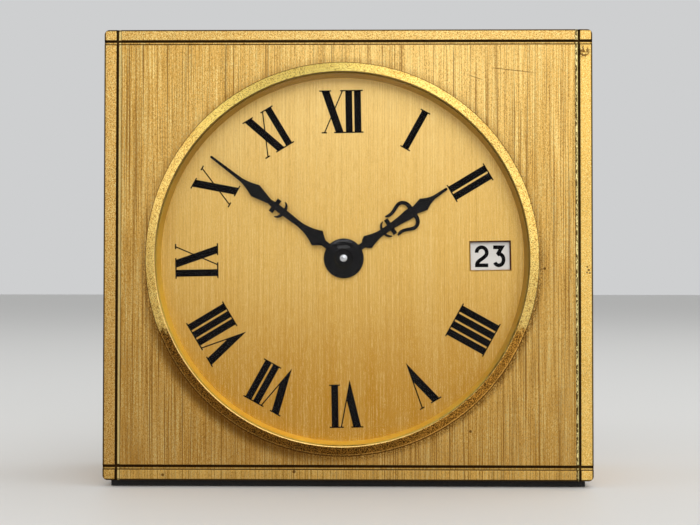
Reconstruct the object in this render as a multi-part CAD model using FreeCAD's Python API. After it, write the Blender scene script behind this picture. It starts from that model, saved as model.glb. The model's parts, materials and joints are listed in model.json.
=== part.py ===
import FreeCAD, Part
import math
import os

Vector = FreeCAD.Vector

# A square gilt-brass desk clock with an eight-day lever movement and a date ring behind the dial.
# Millimetres. X runs to the viewer's right, Y from the front face to the back, Z up.
# X = 0 is the middle of the case, Y = 0 the middle of its depth, Z = 0 the underside of its pad.
# A "depth" is measured backwards from the case's front face, and a "clock angle" is in degrees,
# clockwise from twelve as seen from the front. A centre is an (x, z) pair.

# ---------------------------------------------------------------- case
case_width = 96.0
case_height = 88.5
case_depth = 34.0
case_wall = 2.5
case_corner_round = 1.0
front_rim_round = 0.4
pad_thickness = 1.2
pad_inset = 1.5
front_plate_thickness = 4.0
back_cover_thickness = 2.0
back_cover_clearance = 0.15
lug_size = 7.0
lug_thickness = 3.0

groove_width = 0.86
groove_depth = 0.5
groove_round = 0.18
groove_inset_side = 2.94
groove_inset_level = 2.6

# ---------------------------------------------------------------- bezel, crystal and dial
opening_margin = 6.25
opening_offset_x = -1.1
opening_offset_z = -0.85
bezel_overlap = 0.6
bezel_inset = 1.5
bezel_height = 1.8
bezel_land = 0.3
bezel_lip = 0.2
bezel_sleeve_wall = 0.55
opening_clearance = 0.05
crystal_thickness = 1.2
crystal_cover = 0.6
gasket_width = 0.3

dial_offset_x = -0.8
dial_offset_z = -0.75
dial_turn = -1.0
dial_depth = 3.8
dial_thickness = 0.6
dial_ring_inset = 0.45
dial_cover = 1.45
dial_hole_radius = 2.6
window_inset = 0.2
window_width = 7.75
window_height = 5.5
window_bevel = 0.27
window_angle = 90.0

numeral_margin = 2.55
numeral_height = 8.55
numeral_thickness = 0.1
bar_width = 1.36
slanted_bar_width = 1.56
letter_gap = 0.38
v_width = 4.1
v_point = 0.9
x_width = 4.38
hairline = 0.24
serif_overhang = 0.4

# ---------------------------------------------------------------- hands
shown_minutes = 51.4
shown_hours = 13
# The hour hand was pressed on this many degrees ahead of its true place.
hour_hand_lead = 1.2
hand_thickness = 0.35
minute_hand_gap = 0.35
hour_hand_gap = 0.25
hour_boss_radius = 3.95
minute_boss_radius = 2.65
boss_slope_width = 0.68
boss_slope_height = 0.3
nut_radius = 1.76
nut_chamfer = 0.15
post_radius = 0.7
post_dome_radius = 1.0

# ---------------------------------------------------------------- fits
running_clearance = 0.05
end_shake = 0.2
level_gap = 0.3
screw_slot = 0.45

# ---------------------------------------------------------------- calendar
date_ring_thickness = 0.7
date_ring_margin = 2.6
date_ring_width = 10.1
date_ring_tooth_height = 1.6
date_ring_teeth = 31
date_ring_gap = 0.2
calendar_floor_thickness = 1.0
calendar_floor_gap = 0.1
calendar_floor_inset = 0.3
calendar_flange = 2.5
calendar_rim_step = 0.9
date_wheel_teeth = 40
date_pinion_teeth = 20
date_module = 0.45
date_wheel_thickness = 0.6
date_wheel_angle = 200.0
date_finger_reach = 1.2
date_finger_width = 1.0
jumper_thickness = 0.5
jumper_length = 7.7
jumper_angle = 318.0

# ---------------------------------------------------------------- motion work
cannon_teeth = 12
minute_wheel_teeth = 36
cannon_module = 0.375
minute_pinion_teeth = 10
hour_wheel_teeth = 40
hour_module = 0.36
motion_wheel_thickness = 0.7
minute_wheel_angle = 45.0
cannon_pipe_radius = 1.5
hour_pipe_radius = 2.0

# ---------------------------------------------------------------- plates
main_plate_depth = 9.0
main_plate_thickness = 2.0
main_plate_radius = 34.5
plate_spacing = 10.0
back_plate_thickness = 1.5
pillar_circle_radius = 30.5
pillar_radius = 2.2
pillar_angles = (20.0, 110.0, 236.0, 325.0)
spacer_angles = (60.0, 180.0, 300.0)
spacer_radius = 2.2
jewel_radius = 1.1
jewel_thickness = 1.0

# ---------------------------------------------------------------- going train
barrel_teeth = 72
barrel_module = 0.40
intermediate_pinion_teeth = 12
intermediate_wheel_teeth = 60
intermediate_module = 0.34
centre_pinion_teeth = 12
centre_wheel_teeth = 64
centre_module = 0.30
third_pinion_teeth = 8
third_wheel_teeth = 60
third_module = 0.28
fourth_pinion_teeth = 8
fourth_wheel_teeth = 64
fourth_module = 0.24
escape_pinion_teeth = 8
escape_wheel_teeth = 15
escape_wheel_radius = 4.0
barrel_centre_distance = 17.8
barrel_angle = 270.0
third_angle = 110.0
fourth_angle = 160.0
escape_angle = 260.0
lever_angle = 240.0
escape_to_pallet = 5.6
pallet_to_balance = 9.0

centre_arbor_radius = 1.0
train_pivot_radius = 0.4
fine_pivot_radius = 0.3
arm_width = 0.9

barrel_drum_radius = 13.2
barrel_wall = 0.8
barrel_floor_thickness = 0.6
barrel_height = 4.9
barrel_tooth_thickness = 1.0
barrel_cover_thickness = 0.5
arbor_core_radius = 2.6
arbor_journal_radius = 2.0
arbor_square = 2.6
mainspring_thickness = 0.3
mainspring_pitch = 0.62
mainspring_start_radius = 2.8
mainspring_turns = 14

# ---------------------------------------------------------------- winding and setting
ratchet_teeth = 30
ratchet_tip_radius = 6.6
ratchet_root_radius = 5.8
ratchet_thickness = 0.9
click_distance = 10.2
click_angle = 20.0
click_thickness = 0.8
click_clearance = 0.12
knob_clearance = 1.0
setting_knob_radius = 6.5
setting_knob_length = 3.2
setting_knob_ribs = 36
key_hub_radius = 4.0
key_hub_length = 5.6
key_slot_depth = 3.0
key_slot_width = 3.6
key_pin_radius = 0.6
key_wing_width = 13.0
key_wing_length = 9.6
key_wing_thickness = 1.2
key_knuckle_radius = 1.2

# ---------------------------------------------------------------- escapement
fork_thickness = 0.4
balance_radius = 7.5
balance_rim_width = 1.0
balance_thickness = 0.8
balance_lift = 1.0
staff_radius = 0.6
roller_radius = 1.7
impulse_pin_radius = 0.22
impulse_pin_circle = 1.4
hairspring_start_radius = 1.15
hairspring_pitch = 0.42
hairspring_thickness = 0.12
hairspring_turns = 8
hairspring_height = 0.4
hairspring_end_angle = 30.0
curb_pin_radius = 0.08
curb_pin_gap = 0.06
curb_pin_lead = 30.0
collet_radius = 1.05
cock_thickness = 1.2
cock_lift = 3.6
cock_foot_distance = 11.5
cock_foot_angle = 140.0
cock_foot_radius = 3.0
regulator_thickness = 0.4
regulator_length = 9.0
regulator_angle = 345.0

# ================================================================ derived places
front_y = -case_depth / 2
case_bottom_z = pad_thickness
case_mid_z = case_bottom_z + case_height / 2
opening_centre = (opening_offset_x, case_mid_z + opening_offset_z)
dial_centre = (dial_offset_x, case_mid_z + dial_offset_z)

opening_radius = case_height / 2 - opening_margin
bezel_outer_radius = opening_radius + bezel_overlap
bezel_inner_radius = opening_radius - bezel_inset
dial_visible_radius = bezel_inner_radius - dial_ring_inset
dial_radius = dial_visible_radius + dial_cover
numeral_outer_radius = dial_visible_radius - numeral_margin
numeral_inner_radius = numeral_outer_radius - numeral_height
window_radius = (numeral_inner_radius + numeral_outer_radius) / 2 - window_inset
minute_hand_length = numeral_outer_radius - minute_hand_gap
hour_hand_length = numeral_inner_radius - hour_hand_gap
date_ring_outer_radius = dial_radius - date_ring_margin
date_ring_root_radius = date_ring_outer_radius - date_ring_width
date_ring_tip_radius = date_ring_root_radius - date_ring_tooth_height
calendar_floor_inner_radius = date_ring_tip_radius + calendar_floor_inset
calendar_rim_step_radius = dial_radius + calendar_rim_step
calendar_plate_radius = opening_radius + calendar_flange

dial_back = dial_depth + dial_thickness
date_ring_depth = dial_back + date_ring_gap
date_ring_back = date_ring_depth + date_ring_thickness
calendar_floor_depth = date_ring_back + calendar_floor_gap
calendar_plate_back = calendar_floor_depth + calendar_floor_thickness
date_wheel_depth = date_ring_back + end_shake
hour_wheel_depth = date_wheel_depth + date_wheel_thickness + level_gap
minute_wheel_depth = hour_wheel_depth + motion_wheel_thickness + level_gap

main_plate_back = main_plate_depth + main_plate_thickness
back_plate_depth = main_plate_back + plate_spacing
back_plate_back = back_plate_depth + back_plate_thickness
back_cover_depth = case_depth - back_cover_thickness
knob_depth = case_depth + knob_clearance


def along(start, distance, clock_angle):
    """The centre that lies a distance from another at a clock angle."""
    turn = math.radians(clock_angle)
    return (start[0] + distance * math.sin(turn), start[1] + distance * math.cos(turn))


def direction(start, end):
    """The clock angle from one centre to another."""
    return math.degrees(math.atan2(end[0] - start[0], end[1] - start[1]))


def pitch_radius(teeth, module):
    return teeth * module / 2


def distance_of(teeth, other_teeth, module):
    """The centre distance of two meshed gears."""
    return pitch_radius(teeth + other_teeth, module)


def triangle_angle(side, other_side, opposite):
    """The angle, in degrees, between two sides of a triangle whose third side is given."""
    cosine = (side ** 2 + other_side ** 2 - opposite ** 2) / (2 * side * other_side)
    return math.degrees(math.acos(cosine))


centre_to_intermediate = distance_of(centre_pinion_teeth, intermediate_wheel_teeth, intermediate_module)
barrel_to_intermediate = distance_of(barrel_teeth, intermediate_pinion_teeth, barrel_module)
intermediate_angle = barrel_angle + triangle_angle(
    barrel_centre_distance, centre_to_intermediate, barrel_to_intermediate)

barrel_centre = along(dial_centre, barrel_centre_distance, barrel_angle)
intermediate_centre = along(dial_centre, centre_to_intermediate, intermediate_angle)
third_centre = along(
    dial_centre, distance_of(centre_wheel_teeth, third_pinion_teeth, centre_module), third_angle)
fourth_centre = along(
    third_centre, distance_of(third_wheel_teeth, fourth_pinion_teeth, third_module), fourth_angle)
escape_centre = along(
    fourth_centre, distance_of(fourth_wheel_teeth, escape_pinion_teeth, fourth_module), escape_angle)
pallet_centre = along(escape_centre, escape_to_pallet, lever_angle)
balance_centre = along(pallet_centre, pallet_to_balance, lever_angle)
cock_foot_centre = along(balance_centre, cock_foot_distance, cock_foot_angle)
minute_wheel_centre = along(
    dial_centre, distance_of(cannon_teeth, minute_wheel_teeth, cannon_module), minute_wheel_angle)
date_wheel_distance = distance_of(date_pinion_teeth, date_wheel_teeth, date_module)
date_finger_length = date_ring_tip_radius + date_finger_reach - date_wheel_distance
date_wheel_centre = along(dial_centre, date_wheel_distance, date_wheel_angle)
click_centre = along(barrel_centre, click_distance, click_angle)
jumper_foot_centre = along(dial_centre, date_ring_tip_radius - jumper_length, jumper_angle)

# Levels of the going train, between the plates.
barrel_depth = main_plate_back + 0.5
barrel_back = barrel_depth + barrel_height
barrel_tooth_depth = barrel_back - barrel_tooth_thickness
intermediate_wheel_depth = barrel_back + 0.9
centre_wheel_depth = intermediate_wheel_depth + 1.5
third_wheel_depth = main_plate_back + 2.5
fourth_wheel_depth = main_plate_back + 5.5
escape_wheel_depth = back_plate_depth - 1.4
train_wheel_thickness = 0.6
pinion_overlap = 0.5

# Levels of the hands: the hour hand lies nearest the dial.
hour_boss_back = dial_depth - 0.5
hour_boss_front = hour_boss_back - 0.8
hour_blade_depth = hour_boss_front + 0.25
minute_boss_back = hour_boss_front - level_gap
minute_boss_front = minute_boss_back - 0.7
minute_blade_depth = minute_boss_front + 0.2
nut_front = minute_boss_front - 0.5
post_front = nut_front - 0.6

# Levels behind the back plate.
ratchet_depth = back_plate_back + end_shake
balance_depth = back_plate_back + balance_lift
hairspring_depth = balance_depth + balance_thickness + 0.6
cock_depth = back_plate_back + cock_lift
regulator_depth = cock_depth + cock_thickness
roller_depth = escape_wheel_depth + fork_thickness + 0.2

minute_hand_angle = dial_turn + shown_minutes * 6
hour_hand_angle = dial_turn + (shown_hours + shown_minutes / 60) * 30 + hour_hand_lead


# ================================================================ shape helpers
def point(centre, depth):
    return Vector(centre[0], front_y + depth, centre[1])


def disc(centre, radius, front, back):
    """A cylinder on a front-to-back axis, between two depths."""
    return Part.makeCylinder(radius, back - front, point(centre, front), Vector(0, 1, 0))


def ring(centre, inner, outer, front, back):
    return disc(centre, outer, front, back).cut(disc(centre, inner, front - 1, back + 1))


def block(x_low, x_high, z_low, z_high, front, back):
    return Part.makeBox(x_high - x_low, back - front, z_high - z_low, Vector(x_low, front_y + front, z_low))


def prism(outline, front, back):
    """A closed outline of (x, z) points, extruded between two depths."""
    points = [point(corner, front) for corner in outline]
    face = Part.Face(Part.makePolygon(points + [points[0]]))
    return face.extrude(Vector(0, back - front, 0))


def turn(shape, centre, clock_angle):
    """Turn a shape clockwise, as seen from the front, about a front-to-back axis."""
    shape.rotate(Vector(centre[0], 0, centre[1]), Vector(0, 1, 0), clock_angle)
    return shape


def revolve(centre, profile):
    """Revolve a closed profile of (radius, depth) points about a front-to-back axis."""
    points = [Vector(centre[0] + radius, front_y + depth, centre[1]) for radius, depth in profile]
    face = Part.Face(Part.makePolygon(points + [points[0]]))
    return face.revolve(point(centre, 0), Vector(0, 1, 0), 360)


def turned(centre, steps):
    """A turned bar: steps are (radius, depth where the step ends), after the first depth."""
    profile = [(0.0, steps[0])]
    depth = steps[0]
    for radius, end in steps[1:]:
        profile.append((radius, depth))
        profile.append((radius, end))
        depth = end
    profile.append((0.0, depth))
    return revolve(centre, profile)


def fused(shapes):
    """Join solids that touch or overlap into one."""
    joined = shapes[0].multiFuse(shapes[1:]) if len(shapes) > 1 else shapes[0]
    return joined.removeSplitter()


def grouped(shapes):
    """Separate solids kept together as one node."""
    return Part.Compound([solid for shape in shapes for solid in shape.Solids])


def screw(centre, seat, tip, radius, head_radius, head_height):
    """A slotted screw: its head rests on the seat depth and its shank ends at the tip depth."""
    if tip < seat:
        head_end = seat + head_height
        body = turned(centre, [tip, (radius, seat), (head_radius, head_end)])
        slot_front = head_end - head_height / 2
        slot_back = head_end + 1
    else:
        head_end = seat - head_height
        body = turned(centre, [head_end, (head_radius, seat), (radius, tip)])
        slot_front = head_end - 1
        slot_back = head_end + head_height / 2
    slot = block(centre[0] - head_radius - 1, centre[0] + head_radius + 1,
                 centre[1] - screw_slot / 2, centre[1] + screw_slot / 2, slot_front, slot_back)
    return body.cut(turn(slot, centre, 35))


# ================================================================ gears
WHEEL = {"addendum": 1.1, "dedendum": 1.15, "root": 0.24, "tip": 0.08}
PINION = {"addendum": 0.65, "dedendum": 1.45, "root": 0.12, "tip": 0.08}


def tip_radius(teeth, module, form):
    return pitch_radius(teeth, module) + form["addendum"] * module


def root_radius(teeth, module, form):
    return pitch_radius(teeth, module) - form["dedendum"] * module


def gear(centre, teeth, module, form, tooth_angle, front, back):
    """A straight-flanked gear with a tooth centred on a clock angle.

    A form gives the addendum and dedendum in modules, and half a tooth's width at its root and
    tip as a share of the pitch. A pinion's leaf is widest on the pitch circle.
    """
    pitch = math.pi * module
    circles = [(root_radius(teeth, module, form), form["root"] * pitch)]
    if form is PINION:
        circles.append((pitch_radius(teeth, module), 0.17 * pitch))
    circles.append((tip_radius(teeth, module, form), form["tip"] * pitch))
    outline = []
    for tooth in range(teeth):
        middle = tooth_angle + 360 * tooth / teeth
        for radius, half_width in circles:
            outline.append(along(centre, radius, middle - math.degrees(half_width / radius)))
        for radius, half_width in reversed(circles):
            outline.append(along(centre, radius, middle + math.degrees(half_width / radius)))
    return prism(outline, front, back)


def meshed_angle(centre, teeth, tooth_angle, other_centre, other_teeth):
    """A clock angle for a tooth of the second gear, so that it meshes with the first."""
    line = direction(centre, other_centre)
    share = (line - tooth_angle) * teeth / 360
    return line + 180 - (0.5 - share) * 360 / other_teeth


def crossed_out(wheel, centre, inner, outer, arms, front, back):
    """Cut windows in a wheel, so that arms are left between its hub and its rim."""
    windows = ring(centre, inner, outer, front - 1, back + 1)
    for arm in range(arms):
        bar = block(centre[0] - arm_width / 2, centre[0] + arm_width / 2,
                    centre[1], centre[1] + outer + 1, front - 2, back + 2)
        windows = windows.cut(turn(bar, centre, 360 * arm / arms))
    return wheel.cut(windows)


def train_wheel(centre, teeth, module, tooth_angle, bore, arms, front, back):
    """A crossed-out brass wheel with a round bore."""
    blank = gear(centre, teeth, module, WHEEL, tooth_angle, front, back)
    rim = root_radius(teeth, module, WHEEL) - 0.9
    wheel = crossed_out(blank, centre, bore + 1.2, rim, arms, front, back)
    return wheel.cut(disc(centre, bore, front - 1, back + 1))


def train_arbor(centre, teeth, module, tooth_angle, front, back, pivot):
    """A steel arbor between the plates, with its pinion cut on it and a pivot at each end."""
    body = root_radius(teeth, module, PINION)
    arbor = turned(centre, [
        main_plate_back - jewel_thickness,
        (pivot, main_plate_back + end_shake),
        (body, back_plate_depth - end_shake),
        (pivot, back_plate_depth + jewel_thickness)])
    return fused([arbor, gear(centre, teeth, module, PINION, tooth_angle, front, back)])


# Tooth angles, set from the centre arbor outwards so that every pair is in mesh at rest.
centre_tooth = 0.0
intermediate_tooth = meshed_angle(
    dial_centre, centre_pinion_teeth, centre_tooth, intermediate_centre, intermediate_wheel_teeth)
barrel_tooth = meshed_angle(
    intermediate_centre, intermediate_pinion_teeth, intermediate_tooth, barrel_centre, barrel_teeth)
third_tooth = meshed_angle(
    dial_centre, centre_wheel_teeth, centre_tooth, third_centre, third_pinion_teeth)
fourth_tooth = meshed_angle(
    third_centre, third_wheel_teeth, third_tooth, fourth_centre, fourth_pinion_teeth)
escape_tooth = meshed_angle(
    fourth_centre, fourth_wheel_teeth, fourth_tooth, escape_centre, escape_pinion_teeth)
minute_wheel_tooth = meshed_angle(
    dial_centre, cannon_teeth, centre_tooth, minute_wheel_centre, minute_wheel_teeth)
hour_wheel_tooth = meshed_angle(
    minute_wheel_centre, minute_pinion_teeth, minute_wheel_tooth, dial_centre, hour_wheel_teeth)
date_wheel_tooth = meshed_angle(
    dial_centre, date_pinion_teeth, hour_wheel_tooth, date_wheel_centre, date_wheel_teeth)

nodes = {}

# ================================================================ case
lug_inset = lug_size / 2 + case_wall
lug_centres = [
    (side * (case_width / 2 - lug_inset), case_mid_z + level * (case_height / 2 - lug_inset))
    for side in (-1, 1) for level in (-1, 1)]
screw_radius = 1.25
screw_hole_radius = screw_radius + running_clearance
blind_hole_floor = front_plate_thickness - 2.4
clamp_screw_distance = calendar_plate_radius + 5.0
clamp_angles = (45.0, 135.0, 225.0, 315.0)
clamp_width = 5.0
clamp_cap = 1.0


def rounded_block(x_half, z_low, z_high, front, back, corner, rim):
    """A block with rounded long edges, and a rounded front rim where rim isn't zero."""
    body = block(-x_half, x_half, z_low, z_high, front, back)
    long_edges = []
    for edge in body.Edges:
        ends = [vertex.Point.y for vertex in edge.Vertexes]
        if abs(ends[0] - ends[1]) > 1e-6:
            long_edges.append(edge)
    body = body.makeFillet(corner, long_edges)
    if rim == 0:
        return body
    front_edges = []
    for edge in body.Edges:
        box = edge.BoundBox
        if abs(box.YMin - (front_y + front)) < 1e-6 and abs(box.YMax - (front_y + front)) < 1e-6:
            front_edges.append(edge)
    return body.makeFillet(rim, front_edges)


def groove(length, flat_start):
    """A groove's cutter, along X from the origin, whose top edges flare with a small radius."""
    half = groove_width / 2
    corner = groove_round
    bend = corner * (1 - math.sqrt(0.5))
    top = -flat_start

    def at(y, z):
        return Vector(0, y, z)

    def edge(start, end):
        return Part.LineSegment(start, end).toShape()

    def flare(sign):
        return Part.Arc(at(0, sign * (half + corner)), at(bend, sign * (half + bend)),
                        at(corner, sign * half)).toShape()

    outline = Part.Wire([
        edge(at(top, -half - corner), at(0, -half - corner)),
        flare(-1),
        edge(at(corner, -half), at(groove_depth, -half)),
        edge(at(groove_depth, -half), at(groove_depth, half)),
        edge(at(groove_depth, half), at(corner, half)),
        flare(1),
        edge(at(0, half + corner), at(top, half + corner)),
        edge(at(top, half + corner), at(top, -half - corner))])
    return Part.Face(outline).extrude(Vector(length, 0, 0))


def make_front_plate():
    plate = rounded_block(case_width / 2, case_bottom_z, case_bottom_z + case_height,
                          0, front_plate_thickness, case_corner_round, front_rim_round)
    cutters = [disc(opening_centre, opening_radius, -1, front_plate_thickness + 1)]
    for side in (-1, 1):
        level_groove = groove(case_width + 2, 1)
        level_groove.translate(Vector(-case_width / 2 - 1, front_y,
                                      case_mid_z + side * (case_height / 2 - groove_inset_level)))
        cutters.append(level_groove)
        upright_groove = groove(case_height + 2, 1)
        upright_groove.rotate(Vector(0, 0, 0), Vector(0, 1, 0), -90)
        upright_groove.translate(Vector(side * (case_width / 2 - groove_inset_side), front_y,
                                        case_bottom_z - 1))
        cutters.append(upright_groove)
    holes = lug_centres + [along(dial_centre, clamp_screw_distance, angle) for angle in clamp_angles]
    for centre in holes:
        cutters.append(disc(centre, screw_hole_radius, blind_hole_floor, front_plate_thickness + 1))
    for cutter in cutters:
        plate = plate.cut(cutter)
    return plate


def make_case_body():
    body = rounded_block(case_width / 2, case_bottom_z, case_bottom_z + case_height,
                         front_plate_thickness, case_depth, case_corner_round, 0)
    body = body.cut(block(-case_width / 2 + case_wall, case_width / 2 - case_wall,
                          case_bottom_z + case_wall, case_bottom_z + case_height - case_wall,
                          front_plate_thickness - 1, case_depth + 1))
    lugs = []
    for x, z in lug_centres:
        for front in (front_plate_thickness, back_cover_depth - lug_thickness):
            lug = block(x - lug_size / 2, x + lug_size / 2, z - lug_size / 2, z + lug_size / 2,
                        front, front + lug_thickness)
            lugs.append(lug.cut(disc((x, z), screw_hole_radius, front - 1, front + lug_thickness + 1)))
    return fused([body] + lugs)


def make_back_cover():
    gap = case_wall + back_cover_clearance
    cover = block(-case_width / 2 + gap, case_width / 2 - gap,
                  case_bottom_z + gap, case_bottom_z + case_height - gap, back_cover_depth, case_depth)
    for centre in lug_centres:
        cover = cover.cut(disc(centre, screw_hole_radius, back_cover_depth - 1, case_depth + 1))
    key_hole = disc(barrel_centre, key_hub_radius + 0.6, back_cover_depth - 1, case_depth + 1)
    knob_hole = disc(dial_centre, centre_arbor_radius + 1.0, back_cover_depth - 1, case_depth + 1)
    slot_radius = regulator_length - 1.5
    slot_ends = [along(balance_centre, slot_radius, regulator_angle + swing) for swing in (-20, 20)]
    slot = ring(balance_centre, slot_radius - 1.2, slot_radius + 1.2, back_cover_depth - 1, case_depth + 1)
    wedge = [balance_centre] + [
        along(balance_centre, 3 * slot_radius, regulator_angle + swing) for swing in (-20, 20)]
    slot = slot.common(prism(wedge, back_cover_depth - 1, case_depth + 1))
    round_ends = [disc(end, 1.2, back_cover_depth - 1, case_depth + 1) for end in slot_ends]
    return cover.cut(fused([slot] + round_ends)).cut(key_hole).cut(knob_hole)


nodes["front_plate"] = make_front_plate()
nodes["case_body"] = make_case_body()
nodes["back_cover"] = make_back_cover()
nodes["base_pad"] = block(-case_width / 2 + pad_inset, case_width / 2 - pad_inset, 0, pad_thickness,
                          pad_inset, case_depth - pad_inset)
nodes["back_cover_screws"] = grouped([
    screw(centre, case_depth, back_cover_depth - lug_thickness + 0.3, screw_radius, 2.4, 1.1)
    for centre in lug_centres])

# ================================================================ bezel, crystal and dial ring
sleeve_outer = opening_radius - opening_clearance
sleeve_inner = sleeve_outer - bezel_sleeve_wall
crystal_front = -crystal_thickness
nodes["bezel"] = revolve(opening_centre, [
    (sleeve_outer, dial_depth),
    (sleeve_outer, 0),
    (bezel_outer_radius, 0),
    (bezel_outer_radius, -bezel_land),
    (bezel_inner_radius + bezel_lip, -bezel_height),
    (bezel_inner_radius, -bezel_height + bezel_lip / 2),
    (bezel_inner_radius, crystal_front),
    (sleeve_inner, crystal_front),
    (sleeve_inner, dial_depth)])
nodes["crystal"] = disc(opening_centre, sleeve_inner - gasket_width, crystal_front, 0)
nodes["crystal_gasket"] = ring(opening_centre, sleeve_inner - gasket_width, sleeve_inner, crystal_front, 0)
nodes["dial_ring"] = revolve(opening_centre, [
    (sleeve_inner, 0),
    (sleeve_inner, dial_depth),
    (dial_visible_radius, dial_depth),
    (bezel_inner_radius - 0.05, 0)])


# ================================================================ dial and numerals
def window_outline(margin, depth):
    """The date window at twelve, made larger by a margin all round."""
    side = window_height / 2 + margin
    near = dial_centre[1] + window_radius - window_width / 2 - margin
    far = dial_centre[1] + window_radius + window_width / 2 + margin
    corners = [(dial_centre[0] - side, near), (dial_centre[0] + side, near),
               (dial_centre[0] + side, far), (dial_centre[0] - side, far)]
    points = [point(corner, depth) for corner in corners]
    return Part.makePolygon(points + [points[0]])


def dial_window():
    """The window's cutter: straight through the dial, with a bevel round its front."""
    opening = Part.Face(window_outline(0, dial_depth - 1)).extrude(Vector(0, dial_thickness + 2, 0))
    bevel = Part.makeLoft([window_outline(window_bevel, dial_depth),
                           window_outline(0, dial_depth + window_bevel)], True)
    return turn(opening.fuse(bevel), dial_centre, window_angle + dial_turn)


def make_dial():
    plate = disc(dial_centre, dial_radius, dial_depth, dial_back)
    return plate.cut(disc(dial_centre, dial_hole_radius, dial_depth - 1, dial_back + 1)).cut(dial_window())


def stroke(corners):
    """A flat stroke of a numeral at twelve: corners are (sideways, radius from the dial's centre)."""
    outline = [(dial_centre[0] + side, dial_centre[1] + radius) for side, radius in corners]
    return prism(outline, dial_depth - numeral_thickness, dial_depth)


def serif(start, end, outer):
    """A hairline across the inner or outer end of a stroke, a little wider than the stroke."""
    edge = numeral_outer_radius if outer else numeral_inner_radius
    inner = edge - hairline if outer else edge
    low = start - serif_overhang
    high = end + serif_overhang
    return stroke([(low, inner), (high, inner), (high, inner + hairline), (low, inner + hairline)])


def letter_i(left):
    right = left + bar_width
    bar = stroke([(left, numeral_inner_radius), (right, numeral_inner_radius),
                  (right, numeral_outer_radius), (left, numeral_outer_radius)])
    return [bar, serif(left, right, True), serif(left, right, False)]


def letter_v(left):
    right = left + v_width
    apex = left + 0.53 * v_width
    top = numeral_outer_radius
    low = numeral_inner_radius - v_point
    bar = slanted_bar_width
    share = (v_width - bar - hairline) / v_width
    notch = (left + bar + share * (apex - left), top - share * (top - low))
    body = stroke([(left, top), (apex, low), (right, top), (right - hairline, top), notch,
                   (left + bar, top)])
    return [body, serif(left, left + bar, True), serif(right - hairline, right, True)]


def letter_x(left):
    right = left + x_width
    top = numeral_outer_radius
    low = numeral_inner_radius
    bar = slanted_bar_width
    thick = stroke([(left, top), (left + bar, top), (right, low), (right - bar, low)])
    thin_low = left + 0.35
    thin = stroke([(right - hairline, top), (right, top), (thin_low + hairline, low), (thin_low, low)])
    return [thick, thin, serif(left, left + bar, True), serif(right - hairline, right, True),
            serif(right - bar, right, False), serif(thin_low, thin_low + hairline, False)]


LETTERS = {"I": (bar_width, letter_i), "V": (v_width, letter_v), "X": (x_width, letter_x)}
NUMERALS = {1: "I", 2: "II", 4: "IIII", 5: "V", 6: "VI", 7: "VII", 8: "VIII", 9: "IX", 10: "X",
            11: "XI", 12: "XII"}


def make_numeral(hour):
    word = NUMERALS[hour]
    width = sum(LETTERS[letter][0] for letter in word) + letter_gap * (len(word) - 1)
    left = -width / 2
    strokes = []
    for letter in word:
        letter_width, draw = LETTERS[letter]
        strokes += draw(left)
        left += letter_width + letter_gap
    return turn(fused(strokes), dial_centre, hour * 30 + dial_turn)


nodes["dial"] = make_dial()
nodes["hour_numerals"] = grouped([make_numeral(hour) for hour in NUMERALS])


# ================================================================ hands
def hand_point(side, radius, front, unit):
    return Vector(dial_centre[0] + side * unit, front_y + front, dial_centre[1] + radius * unit)


def mirrored_piece(half, front, unit):
    """A piece of a hand, alike on both sides of its centre line, in units of the hand's size.

    Each entry of the half outline is (radius, half width) for a straight run, or
    (radius, half width, middle radius, middle half width) for an arc that ends there.
    """
    edges = []
    for side in (1, -1):
        for start, end in zip(half, half[1:]):
            first = hand_point(side * start[1], start[0], front, unit)
            last = hand_point(side * end[1], end[0], front, unit)
            if len(end) == 4:
                middle = hand_point(side * end[3], end[2], front, unit)
                edges.append(Part.Arc(first, middle, last).toShape())
            else:
                edges.append(Part.LineSegment(first, last).toShape())
    for end in (half[0], half[-1]):
        edges.append(Part.LineSegment(hand_point(-end[1], end[0], front, unit),
                                      hand_point(end[1], end[0], front, unit)).toShape())
    outline = Part.Wire(Part.__sortEdges__(edges))
    return Part.Face(outline).extrude(Vector(0, hand_thickness, 0))


def ribbon(middle, widths, front, unit):
    """A thin curved strap through (side, radius) points, with its width at each of them."""
    left = []
    right = []
    for index, (side, radius) in enumerate(middle):
        before = middle[max(index - 1, 0)]
        after = middle[min(index + 1, len(middle) - 1)]
        run = math.hypot(after[0] - before[0], after[1] - before[1])
        normal = ((before[1] - after[1]) / run, (after[0] - before[0]) / run)
        half = widths[index] / 2
        left.append(hand_point(side + normal[0] * half, radius + normal[1] * half, front, unit))
        right.append(hand_point(side - normal[0] * half, radius - normal[1] * half, front, unit))
    edges = []
    for points in (left, right):
        curve = Part.BSplineCurve()
        curve.interpolate(points)
        edges.append(curve.toShape())
    edges.append(Part.LineSegment(left[0], right[0]).toShape())
    edges.append(Part.LineSegment(left[-1], right[-1]).toShape())
    outline = Part.Wire(Part.__sortEdges__(edges))
    return Part.Face(outline).extrude(Vector(0, hand_thickness, 0))


def both_sides(middle, widths, front, unit):
    """A strap and its mirror image."""
    mirror = [(-side, radius) for side, radius in middle]
    return [ribbon(middle, widths, front, unit), ribbon(mirror, widths, front, unit)]


def boss(radius, front, back):
    """The round middle of a hand, flat in front and sloping away towards its edge."""
    return revolve(dial_centre, [(0, front), (radius - boss_slope_width, front),
                                 (radius, front + boss_slope_height), (radius, back), (0, back)])


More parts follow.
